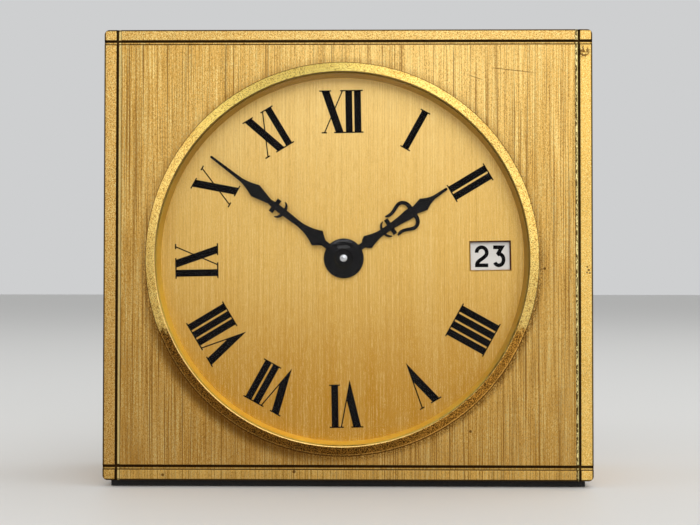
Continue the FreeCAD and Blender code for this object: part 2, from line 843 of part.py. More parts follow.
def make_minute_hand():
    front = minute_blade_depth
    tip = 33.3
    unit = minute_hand_length / tip
    stem = 0.64
    pieces = [
        boss(minute_boss_radius, minute_boss_front, minute_boss_back),
        mirrored_piece([(1.5, stem), (5.0, stem), (5.6, 1.05), (6.6, 1.80), (12.6, 0.62, 8.6, 0.97),
                        (16.0, 0.68), (17.8, 0.60), (18.5, 0.50), (22.1, 1.38), (25.7, 0.37, 23.7, 0.79),
                        (tip - 0.2, 0.24), (tip, 0.1)], front, unit),
        mirrored_piece([(16.65, 1.50), (17.55, 1.50)], front, unit)]
    pieces += both_sides([(0.0, 14.95), (0.75, 15.05), (1.38, 15.35), (1.76, 15.98)],
                         [0.66, 0.62, 0.48, 0.2], front, unit)
    blade = fused(pieces)
    blade = blade.cut(disc(dial_centre, cannon_pipe_radius, minute_boss_front - 1, minute_boss_back + 1))
    return turn(blade, dial_centre, minute_hand_angle)


def make_hour_hand():
    front = hour_blade_depth
    tip = 25.1
    unit = hour_hand_length / tip
    stem = 0.62
    pieces = [
        boss(hour_boss_radius, hour_boss_front, hour_boss_back),
        mirrored_piece([(2.5, stem), (4.8, stem), (5.15, 1.0), (5.85, 1.45), (8.6, 0.68, 7.1, 1.02),
                        (10.3, 0.64), (12.0, 0.67), (14.2, 0.84), (15.4, 1.05), (16.6, 1.05),
                        (17.4, 0.86), (19.4, 1.38), (22.0, 0.37, 20.5, 0.80), (tip - 0.2, 0.28),
                        (tip, 0.16)], front, unit),
        mirrored_piece([(10.95, 1.76), (11.8, 1.76)], front, unit)]
    pieces += both_sides([(0.0, 9.5), (0.8, 9.65), (1.38, 10.02), (1.72, 10.6)],
                         [0.52, 0.5, 0.42, 0.18], front, unit)
    pieces += both_sides([(0.5, 16.6), (1.3, 16.75), (2.1, 16.55), (2.68, 16.0), (2.88, 15.25),
                          (2.74, 14.7), (2.44, 14.0), (2.07, 12.9), (2.08, 12.15), (2.28, 11.6)],
                         [0.95, 0.86, 0.8, 0.74, 0.72, 0.71, 0.7, 0.66, 0.58, 0.28], front, unit)
    blade = fused(pieces)
    blade = blade.cut(disc(dial_centre, hour_pipe_radius, hour_boss_front - 1, hour_boss_back + 1))
    return turn(blade, dial_centre, hour_hand_angle)


nodes["minute_hand"] = make_minute_hand()
nodes["hour_hand"] = make_hour_hand()
nodes["hand_nut"] = revolve(dial_centre, [
    (post_radius, minute_boss_front), (nut_radius, minute_boss_front),
    (nut_radius, nut_front + nut_chamfer), (nut_radius - nut_chamfer, nut_front),
    (post_radius, nut_front)])


# ================================================================ calendar work
def make_date_ring():
    body = disc(dial_centre, date_ring_outer_radius, date_ring_depth, date_ring_back)
    outline = []
    for tooth in range(date_ring_teeth):
        middle = dial_turn + 360 * tooth / date_ring_teeth
        pitch = 360 / date_ring_teeth
        outline.append(along(dial_centre, date_ring_root_radius, middle - 0.32 * pitch))
        outline.append(along(dial_centre, date_ring_tip_radius, middle - 0.08 * pitch))
        outline.append(along(dial_centre, date_ring_tip_radius, middle + 0.08 * pitch))
        outline.append(along(dial_centre, date_ring_root_radius, middle + 0.32 * pitch))
    return body.cut(prism(outline, date_ring_depth - 1, date_ring_back + 1))


def make_calendar_plate():
    rim_inner = date_ring_outer_radius + 2 * running_clearance
    plate = revolve(dial_centre, [
        (calendar_floor_inner_radius, calendar_plate_back),
        (calendar_plate_radius, calendar_plate_back),
        (calendar_plate_radius, front_plate_thickness),
        (calendar_rim_step_radius, front_plate_thickness),
        (calendar_rim_step_radius, dial_back),
        (rim_inner, dial_back),
        (rim_inner, calendar_floor_depth),
        (calendar_floor_inner_radius, calendar_floor_depth)])
    for angle in spacer_angles:
        centre = along(dial_centre, pillar_circle_radius, angle)
        plate = plate.cut(disc(centre, screw_radius, calendar_floor_depth - 1, calendar_plate_back + 1))
    return plate


def make_clamp(angle):
    """A clamp that holds the calendar plate's edge to the back of the front plate."""
    start = calendar_plate_radius + 0.3
    end = clamp_screw_distance + 3.0
    low = dial_centre[0] - clamp_width / 2
    high = dial_centre[0] + clamp_width / 2
    foot = block(low, high, dial_centre[1] + start, dial_centre[1] + end,
                 front_plate_thickness, calendar_plate_back)
    cap = block(low, high, dial_centre[1] + start - 1.5, dial_centre[1] + end,
                calendar_plate_back, calendar_plate_back + clamp_cap)
    hole = disc(along(dial_centre, clamp_screw_distance, 0), screw_hole_radius,
                front_plate_thickness - 1, calendar_plate_back + clamp_cap + 1)
    return turn(fused([foot, cap]).cut(hole), dial_centre, angle)


def make_date_finger():
    """The finger that moves the date ring one tooth a day, with its hub."""
    hours_after_change = shown_hours + shown_minutes / 60
    resting_angle = date_wheel_angle - hours_after_change * 15
    hub = disc(date_wheel_centre, 2.0, date_ring_depth + 0.1, date_ring_back)
    x, z = date_wheel_centre
    arm = prism([(x - 0.8, z), (x - date_finger_width / 2, z + date_finger_length),
                 (x + date_finger_width / 2, z + date_finger_length), (x + 0.8, z)],
                date_ring_depth + 0.1, date_ring_back)
    finger = fused([hub, turn(arm, date_wheel_centre, resting_angle)])
    return finger.cut(disc(date_wheel_centre, date_stud_radius + running_clearance, 0, back_plate_depth))


def make_date_wheel():
    wheel_back = date_wheel_depth + date_wheel_thickness
    wheel = gear(date_wheel_centre, date_wheel_teeth, date_module, WHEEL, date_wheel_tooth,
                 date_wheel_depth, wheel_back)
    wheel = crossed_out(wheel, date_wheel_centre, 3.0, 7.4, 4, date_wheel_depth, wheel_back)
    hub = disc(date_wheel_centre, 2.0, date_ring_back, wheel_back)
    wheel = fused([wheel, hub])
    return wheel.cut(disc(date_wheel_centre, date_stud_radius + running_clearance, 0, back_plate_depth))


def make_date_jumper():
    """A flat spring whose nose rides on the tips of the date ring's teeth."""
    front = date_ring_depth + 0.1
    back = front + jumper_thickness
    nose_angle = jumper_angle + 34
    nose = along(dial_centre, date_ring_tip_radius - 0.2, nose_angle)
    before = along(dial_centre, date_ring_tip_radius - 2.0, nose_angle - 3)
    after = along(dial_centre, date_ring_tip_radius - 2.0, nose_angle + 3)
    below = along(dial_centre, date_ring_tip_radius - 3.0, nose_angle)
    foot = disc(jumper_foot_centre, 2.4, front, back)
    lower = along(jumper_foot_centre, 0.5, jumper_angle + 150)
    upper = along(jumper_foot_centre, 0.5, jumper_angle - 30)
    arm = prism([lower, below, after, nose, before, upper], front, back)
    spring = fused([foot, arm])
    return spring.cut(disc(jumper_foot_centre, 0.8 + running_clearance, front - 1, back + 1))


date_stud_radius = 0.8
nodes["calendar_plate"] = make_calendar_plate()
nodes["date_ring"] = make_date_ring()
nodes["date_wheel"] = make_date_wheel()
nodes["date_finger"] = make_date_finger()
nodes["date_jumper"] = make_date_jumper()
jumper_seat = date_ring_depth + 0.1 + jumper_thickness
jumper_post = disc(jumper_foot_centre, 2.2, jumper_seat, main_plate_depth).cut(
    disc(jumper_foot_centre, 0.8 + running_clearance, jumper_seat - 1, jumper_seat + 2.5))
jumper_screw = screw(jumper_foot_centre, date_ring_depth + 0.1, jumper_seat + 1.5, 0.8, 1.6, 0.25)
nodes["movement_clamps"] = grouped([make_clamp(angle) for angle in clamp_angles])
nodes["front_plate_screws"] = grouped(
    [screw(centre, front_plate_thickness + lug_thickness, blind_hole_floor + 0.2, screw_radius, 2.2, 1.2)
     for centre in lug_centres] +
    [screw(along(dial_centre, clamp_screw_distance, angle), calendar_plate_back + clamp_cap,
           blind_hole_floor + 0.2, screw_radius, 2.2, 1.2)
     for angle in clamp_angles])

# ================================================================ motion work
minute_stud_radius = 0.6
minute_wheel_back = minute_wheel_depth + motion_wheel_thickness
cannon_back = main_plate_depth - end_shake
nodes["cannon_pinion"] = fused([
    disc(dial_centre, cannon_pipe_radius, minute_boss_front, cannon_back),
    gear(dial_centre, cannon_teeth, cannon_module, PINION, centre_tooth,
         minute_wheel_depth - 0.15, minute_wheel_back + 0.15)]).cut(
    disc(dial_centre, centre_arbor_radius, minute_boss_front - 1, cannon_back + 1))


def make_minute_wheel():
    wheel = gear(minute_wheel_centre, minute_wheel_teeth, cannon_module, WHEEL, minute_wheel_tooth,
                 minute_wheel_depth, minute_wheel_back)
    wheel = crossed_out(wheel, minute_wheel_centre, 2.3, 5.3, 4, minute_wheel_depth, minute_wheel_back)
    pinion = gear(minute_wheel_centre, minute_pinion_teeth, hour_module, PINION, minute_wheel_tooth,
                  hour_wheel_depth - 0.1, minute_wheel_depth)
    wheel = fused([wheel, pinion])
    return wheel.cut(disc(minute_wheel_centre, minute_stud_radius + running_clearance, 0, back_plate_depth))


def make_hour_wheel():
    wheel_back = hour_wheel_depth + motion_wheel_thickness
    wheel = gear(dial_centre, hour_wheel_teeth, hour_module, WHEEL, hour_wheel_tooth,
                 hour_wheel_depth, wheel_back)
    wheel = crossed_out(wheel, dial_centre, 4.6, 5.9, 5, hour_wheel_depth, wheel_back)
    date_pinion = gear(dial_centre, date_pinion_teeth, date_module, WHEEL, hour_wheel_tooth,
                       date_wheel_depth, date_wheel_depth + date_wheel_thickness)
    hub = disc(dial_centre, 3.6, date_wheel_depth, hour_wheel_depth)
    pipe = disc(dial_centre, hour_pipe_radius, hour_boss_front, wheel_back + 0.1)
    return fused([wheel, date_pinion, hub, pipe]).cut(
        disc(dial_centre, cannon_pipe_radius + running_clearance, 0, back_plate_depth))


nodes["minute_wheel"] = make_minute_wheel()
nodes["hour_wheel"] = make_hour_wheel()
stud_root = main_plate_depth + 1.0
motion_studs = [
    turned(minute_wheel_centre, [
        hour_wheel_depth - 0.2, (minute_stud_radius, minute_wheel_back + 0.1),
        (1.3, main_plate_depth), (minute_stud_radius, stud_root)]),
    turned(date_wheel_centre, [
        date_ring_depth + 0.1, (date_stud_radius, date_wheel_depth + date_wheel_thickness + 0.1),
        (1.6, main_plate_depth), (date_stud_radius, stud_root)])]

# ================================================================ plates
jewelled_centres = (third_centre, fourth_centre, escape_centre, pallet_centre)
pillar_centres = [along(dial_centre, pillar_circle_radius, angle) for angle in pillar_angles]
spacer_centres = [along(dial_centre, pillar_circle_radius, angle) for angle in spacer_angles]
intermediate_pivot_radius = 0.6
barrel_pivot_radius = 1.5
plate_screw_radius = 1.0


def make_main_plate():
    front = main_plate_depth - 1
    back = main_plate_back + 1
    holes = [disc(centre, jewel_radius, front, back) for centre in jewelled_centres + (balance_centre,)]
    holes.append(disc(dial_centre, centre_arbor_radius + running_clearance, front, back))
    holes.append(disc(intermediate_centre, intermediate_pivot_radius + running_clearance, front, back))
    holes.append(disc(barrel_centre, barrel_pivot_radius + running_clearance, front, back))
    holes += [disc(centre, plate_screw_radius + running_clearance, front, back) for centre in pillar_centres]
    holes += [disc(centre, screw_hole_radius, front, back) for centre in spacer_centres]
    holes.append(disc(minute_wheel_centre, minute_stud_radius, front, stud_root))
    holes.append(disc(date_wheel_centre, date_stud_radius, front, stud_root))
    return disc(dial_centre, main_plate_radius, main_plate_depth, main_plate_back).cut(
        Part.Compound(holes))


def make_back_plate():
    front = back_plate_depth - 1
    back = back_plate_back + 1
    holes = [disc(centre, jewel_radius, front, back) for centre in jewelled_centres]
    holes.append(disc(balance_centre, roller_radius + 0.3, front, back))
    holes.append(disc(dial_centre, centre_arbor_radius + running_clearance, front, back))
    holes.append(disc(intermediate_centre, intermediate_pivot_radius + running_clearance, front, back))
    holes.append(disc(barrel_centre, arbor_journal_radius + running_clearance, front, back))
    holes += [disc(centre, plate_screw_radius + running_clearance, front, back) for centre in pillar_centres]
    holes.append(disc(click_centre, plate_screw_radius, front, back))
    holes.append(disc(cock_foot_centre, screw_hole_radius, front, back))
    return disc(dial_centre, main_plate_radius, back_plate_depth, back_plate_back).cut(
        Part.Compound(holes))


def make_pillar(centre):
    pillar = disc(centre, pillar_radius, main_plate_back, back_plate_depth)
    for end in (main_plate_back - 1, back_plate_depth - 3):
        pillar = pillar.cut(disc(centre, plate_screw_radius + running_clearance, end, end + 4))
    return pillar


def make_spacer(centre):
    """A post between the calendar plate and the main plate, with a spigot in the calendar plate."""
    post = turned(centre, [calendar_floor_depth + 0.2, (screw_radius, calendar_plate_back),
                           (spacer_radius, main_plate_depth)])
    return post.cut(disc(centre, plate_screw_radius, calendar_plate_back + 0.4, main_plate_depth + 1))


nodes["main_plate"] = make_main_plate()
nodes["back_plate"] = make_back_plate()
nodes["plate_pillars"] = grouped([make_pillar(centre) for centre in pillar_centres])
nodes["dial_side_posts"] = grouped(
    [make_spacer(centre) for centre in spacer_centres] + motion_studs + [jumper_post])
nodes["plate_screws"] = grouped(
    [screw(centre, main_plate_depth, main_plate_back + 2.5, plate_screw_radius, 1.9, 0.8)
     for centre in pillar_centres] +
    [screw(centre, back_plate_back, back_plate_depth - 2.5, plate_screw_radius, 1.9, 0.8)
     for centre in pillar_centres] +
    [screw(centre, main_plate_back, calendar_plate_back + 0.6, plate_screw_radius, 1.9, 0.8)
     for centre in spacer_centres])


def jewel_pair(centre, pivot):
    """The two ring jewels that an arbor's pivots run in."""
    return [ring(centre, pivot + running_clearance, jewel_radius,
                 main_plate_back - jewel_thickness, main_plate_back),
            ring(centre, pivot + running_clearance, jewel_radius,
                 back_plate_depth, back_plate_depth + jewel_thickness)]


balance_jewels = [
    ring(balance_centre, fine_pivot_radius + running_clearance, jewel_radius,
         main_plate_back - jewel_thickness, main_plate_back),
    ring(balance_centre, fine_pivot_radius + running_clearance, jewel_radius,
         cock_depth, cock_depth + jewel_thickness)]
nodes["jewels"] = grouped(
    jewel_pair(third_centre, train_pivot_radius) + jewel_pair(fourth_centre, train_pivot_radius) +
    jewel_pair(escape_centre, fine_pivot_radius) + jewel_pair(pallet_centre, fine_pivot_radius) +
    balance_jewels)


# ================================================================ barrel and mainspring
def spiral_strip(centre, start_radius, turns, pitch, thickness, front, back):
    """A flat coiled spring, made of half circles whose radius grows by half a pitch each."""
    def edge_of(radius):
        arcs = []
        for half_turn in range(2 * turns):
            sign = 1 if half_turn % 2 == 0 else -1
            near = radius + half_turn * pitch / 2
            far = near + pitch / 2
            first = point((centre[0] + sign * near, centre[1]), front)
            last = point((centre[0] - sign * far, centre[1]), front)
            top = point((centre[0] - sign * pitch / 4, centre[1] + sign * (near + far) / 2), front)
            arcs.append(Part.Arc(first, top, last).toShape())
        return arcs

    inner = edge_of(start_radius)
    outer = edge_of(start_radius + thickness)
    ends = []
    for radius in (start_radius, start_radius + turns * pitch):
        ends.append(Part.LineSegment(point((centre[0] + radius, centre[1]), front),
                                     point((centre[0] + radius + thickness, centre[1]), front)).toShape())
    outline = Part.Wire(Part.__sortEdges__(inner + outer + ends))
    return Part.Face(outline).extrude(Vector(0, back - front, 0))


barrel_inner_radius = barrel_drum_radius - barrel_wall
barrel_bearing_radius = 1.8
cover_bearing_radius = 2.2
barrel_cover_depth = barrel_back - barrel_cover_thickness


def make_barrel():
    blank = fused([
        disc(barrel_centre, barrel_drum_radius, barrel_depth, barrel_back),
        gear(barrel_centre, barrel_teeth, barrel_module, WHEEL, barrel_tooth,
             barrel_tooth_depth, barrel_back)])
    blank = blank.cut(disc(barrel_centre, barrel_inner_radius,
                           barrel_depth + barrel_floor_thickness, barrel_back + 1))
    return blank.cut(disc(barrel_centre, barrel_bearing_radius + running_clearance,
                          barrel_depth - 1, barrel_back))


def make_barrel_arbor():
    core_front = barrel_depth + barrel_floor_thickness + 0.1
    core_back = barrel_cover_depth - 0.1
    key_seat = knob_depth + key_hub_length - key_slot_depth - 0.4
    shaft = turned(barrel_centre, [
        main_plate_depth + 0.2,
        (barrel_pivot_radius, main_plate_back + end_shake),
        (barrel_bearing_radius, core_front),
        (arbor_core_radius, core_back),
        (cover_bearing_radius, back_plate_depth - end_shake),
        (arbor_journal_radius, ratchet_depth)])
    half = arbor_square / 2
    square = block(barrel_centre[0] - half, barrel_centre[0] + half,
                   barrel_centre[1] - half, barrel_centre[1] + half, ratchet_depth, key_seat)
    return fused([shaft, square])


nodes["barrel"] = make_barrel()
nodes["barrel_cover"] = ring(barrel_centre, cover_bearing_radius + running_clearance,
                             barrel_inner_radius, barrel_cover_depth, barrel_back)
nodes["mainspring"] = spiral_strip(
    barrel_centre, mainspring_start_radius, mainspring_turns, mainspring_pitch, mainspring_thickness,
    barrel_depth + barrel_floor_thickness + 0.1, barrel_cover_depth - 0.1)
nodes["barrel_arbor"] = make_barrel_arbor()


# ================================================================ wheels and arbors of the train
def make_centre_arbor():
    """The long arbor that carries both the minute hand and the setting knob."""
    dome_back = post_front + post_dome_radius / 2
    shaft = turned(dial_centre, [
        dome_back,
        (post_radius, minute_boss_front),
        (centre_arbor_radius, main_plate_back + end_shake),
        (root_radius(centre_pinion_teeth, intermediate_module, PINION), back_plate_depth - end_shake),
        (centre_arbor_radius, knob_depth + setting_knob_length - 0.8)])
    pinion = gear(dial_centre, centre_pinion_teeth, intermediate_module, PINION, centre_tooth,
                  intermediate_wheel_depth - level_gap,
                  intermediate_wheel_depth + train_wheel_thickness + level_gap)
    ball = Part.makeSphere(post_dome_radius, point(dial_centre, post_front + post_dome_radius))
    dome = ball.common(disc(dial_centre, post_radius, post_front - 1, dome_back))
    return fused([shaft, pinion, dome])


def train_pair(name, centre, wheel_teeth, wheel_module, wheel_depth, arms,
               pinion_teeth, pinion_module, pinion_depth, tooth_angle, pivot):
    """A wheel and the pinioned arbor that it is riveted to, as two nodes."""
    bore = root_radius(pinion_teeth, pinion_module, PINION)
    nodes[name + "_arbor"] = train_arbor(
        centre, pinion_teeth, pinion_module, tooth_angle, pinion_depth - pinion_overlap,
        pinion_depth + train_wheel_thickness + pinion_overlap, pivot)
    nodes[name + "_wheel"] = train_wheel(
        centre, wheel_teeth, wheel_module, tooth_angle, bore, arms,
        wheel_depth, wheel_depth + train_wheel_thickness)


nodes["centre_arbor"] = make_centre_arbor()
nodes["centre_wheel"] = train_wheel(
    dial_centre, centre_wheel_teeth, centre_module, centre_tooth,
    root_radius(centre_pinion_teeth, intermediate_module, PINION), 5,
    centre_wheel_depth, centre_wheel_depth + train_wheel_thickness)
train_pair("intermediate", intermediate_centre, intermediate_wheel_teeth, intermediate_module,
           intermediate_wheel_depth, 5, intermediate_pinion_teeth, barrel_module,
           barrel_tooth_depth + 0.2, intermediate_tooth, intermediate_pivot_radius)
train_pair("third", third_centre, third_wheel_teeth, third_module, third_wheel_depth, 5,
           third_pinion_teeth, centre_module, centre_wheel_depth, third_tooth, train_pivot_radius)
train_pair("fourth", fourth_centre, fourth_wheel_teeth, fourth_module, fourth_wheel_depth, 4,
           fourth_pinion_teeth, third_module, third_wheel_depth, fourth_tooth, train_pivot_radius)
nodes["escape_arbor"] = train_arbor(
    escape_centre, escape_pinion_teeth, fourth_module, escape_tooth,
    fourth_wheel_depth - pinion_overlap, fourth_wheel_depth + train_wheel_thickness + pinion_overlap,
    fine_pivot_radius)


def make_escape_wheel():
    front = escape_wheel_depth
    back = front + fork_thickness
    outline = []
    for tooth in range(escape_wheel_teeth):
        start = 360 * tooth / escape_wheel_teeth
        outline.append(along(escape_centre, 0.76 * escape_wheel_radius, start))
        outline.append(along(escape_centre, escape_wheel_radius, start + 6.5))
        outline.append(along(escape_centre, escape_wheel_radius, start + 8.5))
        outline.append(along(escape_centre, 0.76 * escape_wheel_radius, start + 10))
    wheel = prism(outline, front, back)
    bore = root_radius(escape_pinion_teeth, fourth_module, PINION)
    wheel = crossed_out(wheel, escape_centre, bore + 0.6, 0.6 * escape_wheel_radius, 4, front, back)
    return wheel.cut(disc(escape_centre, bore, front - 1, back + 1))


nodes["escape_wheel"] = make_escape_wheel()

# ================================================================ lever and balance
stone_reach = 2.6
stone_gap = 0.12
fork_reach = pallet_to_balance - impulse_pin_circle + 0.45


def make_pallet_fork():
    """The lever at twelve: its fork points up to the balance, its arms down to the escape wheel."""
    x, z = pallet_centre
    front = escape_wheel_depth
    back = front + fork_thickness
    lever = prism([(x - 0.45, z), (x - 0.3, z + 5.0), (x - 1.2, z + 6.9), (x - 1.0, z + fork_reach),
                   (x - 0.45, z + fork_reach), (x - 0.35, z + 6.7), (x + 0.35, z + 6.7),
                   (x + 0.45, z + fork_reach), (x + 1.0, z + fork_reach), (x + 1.2, z + 6.9),
                   (x + 0.3, z + 5.0), (x + 0.45, z)], front, back)
    arms = prism([(x - 0.6, z + 0.8), (x + 0.6, z + 0.8), (x + 3.3, z - 1.0), (x + 3.0, z - 1.6),
                  (x, z - 0.6), (x - 3.0, z - 1.6), (x - 3.3, z - 1.0)], front, back)
    hub = disc(pallet_centre, 0.9, front, back)
    fork = fused([lever, arms, hub]).cut(disc(pallet_centre, staff_radius, front - 1, back + 1))
    return turn(fork, pallet_centre, lever_angle)


def make_pallet_stones():
    """Two ruby pallets under the ends of the lever's arms, clear of the escape wheel's teeth."""
    x, z = pallet_centre
    front = escape_wheel_depth
    stones = []
    for side in (-1, 1):
        inner = x + side * (stone_reach - 0.1)
        outer = x + side * (stone_reach + 0.55)
        stone = block(min(inner, outer), max(inner, outer), z - 2.15, z - 1.3, front, front + fork_thickness)
        stones.append(turn(stone, pallet_centre, lever_angle))
    return stones


nodes["pallet_fork"] = make_pallet_fork()
for stone in make_pallet_stones():
    nodes["pallet_fork"] = nodes["pallet_fork"].cut(stone)
nodes["pallet_stones"] = grouped(make_pallet_stones())
nodes["pallet_arbor"] = turned(pallet_centre, [
    main_plate_back - jewel_thickness,
    (fine_pivot_radius, main_plate_back + end_shake),
    (staff_radius, back_plate_depth - end_shake),
    (fine_pivot_radius, back_plate_depth + jewel_thickness)])


def make_balance_staff():
    """The staff with its roller, impulse pin and collet."""
    staff = turned(balance_centre, [
        main_plate_back - jewel_thickness,
        (fine_pivot_radius, main_plate_back + end_shake),
        (staff_radius, roller_depth + 0.1),
        (roller_radius, roller_depth + 0.6),
        (staff_radius, hairspring_depth),
        (collet_radius, hairspring_depth + hairspring_height + 0.3),
        (staff_radius, cock_depth - end_shake),
        (fine_pivot_radius, cock_depth + jewel_thickness)])
    pin = disc(along(balance_centre, impulse_pin_circle, lever_angle + 180), impulse_pin_radius,
               roller_depth - 0.1, roller_depth + 0.3)
    return fused([staff, pin])


def make_balance_wheel():
    back = balance_depth + balance_thickness
    rim = ring(balance_centre, balance_radius - balance_rim_width, balance_radius, balance_depth, back)
    hub = ring(balance_centre, staff_radius, 1.6, balance_depth, back)
    x, z = balance_centre
    arms = block(x - balance_radius + 0.4, x + balance_radius - 0.4, z - 0.5, z + 0.5,
                 balance_depth + 0.2, back - 0.1)
    arms = turn(arms, balance_centre, 25).cut(disc(balance_centre, staff_radius, balance_depth - 1, back + 1))
    wheel = fused([rim, hub, arms])
    screws = []
    for index in range(8):
        angle = 25 + 90 + 180 * (index // 4) + (index % 4 - 1.5) * 34
        inner = along(balance_centre, balance_radius, angle)
        stem = Vector(math.sin(math.radians(angle)), 0, math.cos(math.radians(angle)))
        middle = balance_depth + balance_thickness / 2
        screws.append(Part.makeCylinder(0.3, 0.45, point(inner, middle) - stem * 0.1, stem))
    return fused([wheel] + screws)


hairspring_end_radius = hairspring_start_radius + hairspring_turns * hairspring_pitch
stud_distance = hairspring_end_radius + hairspring_thickness + 0.35
stud_centre = along(balance_centre, stud_distance, hairspring_end_angle)


def make_balance_cock():
    """A bridge from its foot to the balance's rear pivot, with the hairspring's stud below it."""
    foot = disc(cock_foot_centre, cock_foot_radius, back_plate_back, cock_depth + cock_thickness)
    x, z = cock_foot_centre
    arm = prism([(x - cock_foot_radius, z), (x - 2.0, z + cock_foot_distance),
                 (x + 2.0, z + cock_foot_distance), (x + cock_foot_radius, z)],
                cock_depth, cock_depth + cock_thickness)
    arm = turn(arm, cock_foot_centre, cock_foot_angle + 180)
    table = disc(balance_centre, 2.6, cock_depth, cock_depth + cock_thickness)
    stud = disc(stud_centre, 0.35, hairspring_depth, cock_depth + 0.5)
    x, z = balance_centre
    carrier = block(x - 0.6, x + 0.6, z + 2.0, z + stud_distance + 0.5, cock_depth, cock_depth + 0.5)
    cock = fused([foot, arm, table, stud, turn(carrier, balance_centre, hairspring_end_angle)])
    cock = cock.cut(disc(balance_centre, jewel_radius, cock_depth - 1, cock_depth + cock_thickness + 1))
    return cock.cut(disc(cock_foot_centre, screw_hole_radius, back_plate_back - 1,
                         cock_depth + cock_thickness + 1))


def make_regulator():
    """A lever round the cock's jewel, with two curb pins beside the hairspring's outer turn."""
    front = regulator_depth
    back = front + regulator_thickness
    x, z = balance_centre
    spring_inside = hairspring_end_radius - hairspring_pitch * curb_pin_lead / 360
    inner_circle = spring_inside - curb_pin_gap - curb_pin_radius
    outer_circle = spring_inside + hairspring_thickness + curb_pin_gap + curb_pin_radius
    hub = disc(balance_centre, 2.2, front, back)
    pointer = prism([(x - 0.8, z), (x - 0.35, z + regulator_length), (x + 0.35, z + regulator_length),
                     (x + 0.8, z)], front, back)
    tail = prism([(x - 0.7, z), (x - 0.6, z + outer_circle + 0.5), (x + 0.6, z + outer_circle + 0.5),
                  (x + 0.7, z)], front, back)
    pin_angle = hairspring_end_angle + curb_pin_lead
    pins = [disc(along(balance_centre, circle, pin_angle), curb_pin_radius, hairspring_depth, back)
            for circle in (inner_circle, outer_circle)]
    lever = fused([hub, turn(pointer, balance_centre, regulator_angle),
                   turn(tail, balance_centre, pin_angle)] + pins)
    return lever.cut(disc(balance_centre, jewel_radius, front - 1, back + 1))


nodes["balance_staff"] = make_balance_staff()
nodes["balance_wheel"] = make_balance_wheel()
nodes["hairspring"] = turn(spiral_strip(
    balance_centre, hairspring_start_radius, hairspring_turns, hairspring_pitch, hairspring_thickness,
    hairspring_depth, hairspring_depth + hairspring_height), balance_centre, hairspring_end_angle - 90)
nodes["balance_cock"] = make_balance_cock()
cock_screw = screw(cock_foot_centre, cock_depth + cock_thickness, back_plate_depth + 0.2,
                   screw_radius, 2.2, 0.9)
nodes["regulator_lever"] = make_regulator()


# ================================================================ winding and setting work
def make_ratchet_wheel():
    back = ratchet_depth + ratchet_thickness
    outline = []
    for tooth in range(ratchet_teeth):
        start = 360 * tooth / ratchet_teeth
        outline.append(along(barrel_centre, ratchet_root_radius, start))
        outline.append(along(barrel_centre, ratchet_tip_radius, start + 1.0))
    wheel = prism(outline, ratchet_depth, back)
    half = arbor_square / 2
    square = block(barrel_centre[0] - half, barrel_centre[0] + half,
                   barrel_centre[1] - half, barrel_centre[1] + half, ratchet_depth - 1, back + 1)
    return wheel.cut(square)


def make_click():
    """The pawl, with its nose lifted to the tips of the ratchet's teeth."""
    back = ratchet_depth + click_thickness
    boss = disc(click_centre, 1.9, ratchet_depth, back)
    nose_angle = click_angle + 42
    nose = along(barrel_centre, ratchet_tip_radius + click_clearance, nose_angle)
    heel = along(barrel_centre, ratchet_tip_radius + 2.2, nose_angle + 2)
    beak = prism([along(click_centre, 1.3, click_angle + 180), nose, heel,
                  along(click_centre, 1.8, click_angle + 20)], ratchet_depth, back)
    return fused([boss, beak]).cut(disc(click_centre, plate_screw_radius + running_clearance,
                                        ratchet_depth - 1, back + 1))


def make_click_spring():
    """A bent flat spring beside the click, on its own foot."""
    back = ratchet_depth + click_thickness
    foot_centre = along(barrel_centre, 14.5, click_angle + 66)
    foot = disc(foot_centre, 1.4, back_plate_back, back)
    tip = along(barrel_centre, ratchet_tip_radius + 4.3, click_angle + 45)
    side = direction(foot_centre, tip)
    blade = prism([along(foot_centre, 0.35, side - 90), along(tip, 0.15, side - 90),
                   along(tip, 0.15, side + 90), along(foot_centre, 0.35, side + 90)],
                  ratchet_depth, back)
    return fused([foot, blade])


def make_setting_knob():
    back = knob_depth + setting_knob_length
    outline = []
    for rib in range(setting_knob_ribs):
        start = 360 * rib / setting_knob_ribs
        outline.append(along(dial_centre, setting_knob_radius, start))
        outline.append(along(dial_centre, setting_knob_radius - 0.35, start + 180 / setting_knob_ribs))
    grip = prism(outline, knob_depth + 0.6, back - 0.5)
    face = disc(dial_centre, setting_knob_radius - 0.6, knob_depth + 0.4, back)
    collar = disc(dial_centre, 2.6, knob_depth, back)
    knob = fused([grip, face, collar])
    return knob.cut(disc(dial_centre, centre_arbor_radius, knob_depth - 1, back - 0.8))


key_back = knob_depth + key_hub_length
key_slot_floor = key_back - key_slot_depth
key_pin_depth = key_slot_floor + key_knuckle_radius + 0.2


def make_winding_key():
    """The key's hub: a square socket in front, and a slot behind it for the folding wing."""
    x, z = barrel_centre
    hub = disc(barrel_centre, key_hub_radius, knob_depth, key_back)
    half = arbor_square / 2
    hub = hub.cut(block(x - half, x + half, z - half, z + half, knob_depth - 1, key_slot_floor - 0.4))
    slot = block(x - key_slot_width / 2, x + key_slot_width / 2, z - key_hub_radius - 1,
                 z + key_hub_radius + 1, key_slot_floor, key_back + 1)
    pin_hole = Part.makeCylinder(key_pin_radius, 2 * key_hub_radius + 2,
                                 Vector(x - key_hub_radius - 1, front_y + key_pin_depth, z), Vector(1, 0, 0))
    return hub.cut(slot).cut(pin_hole)


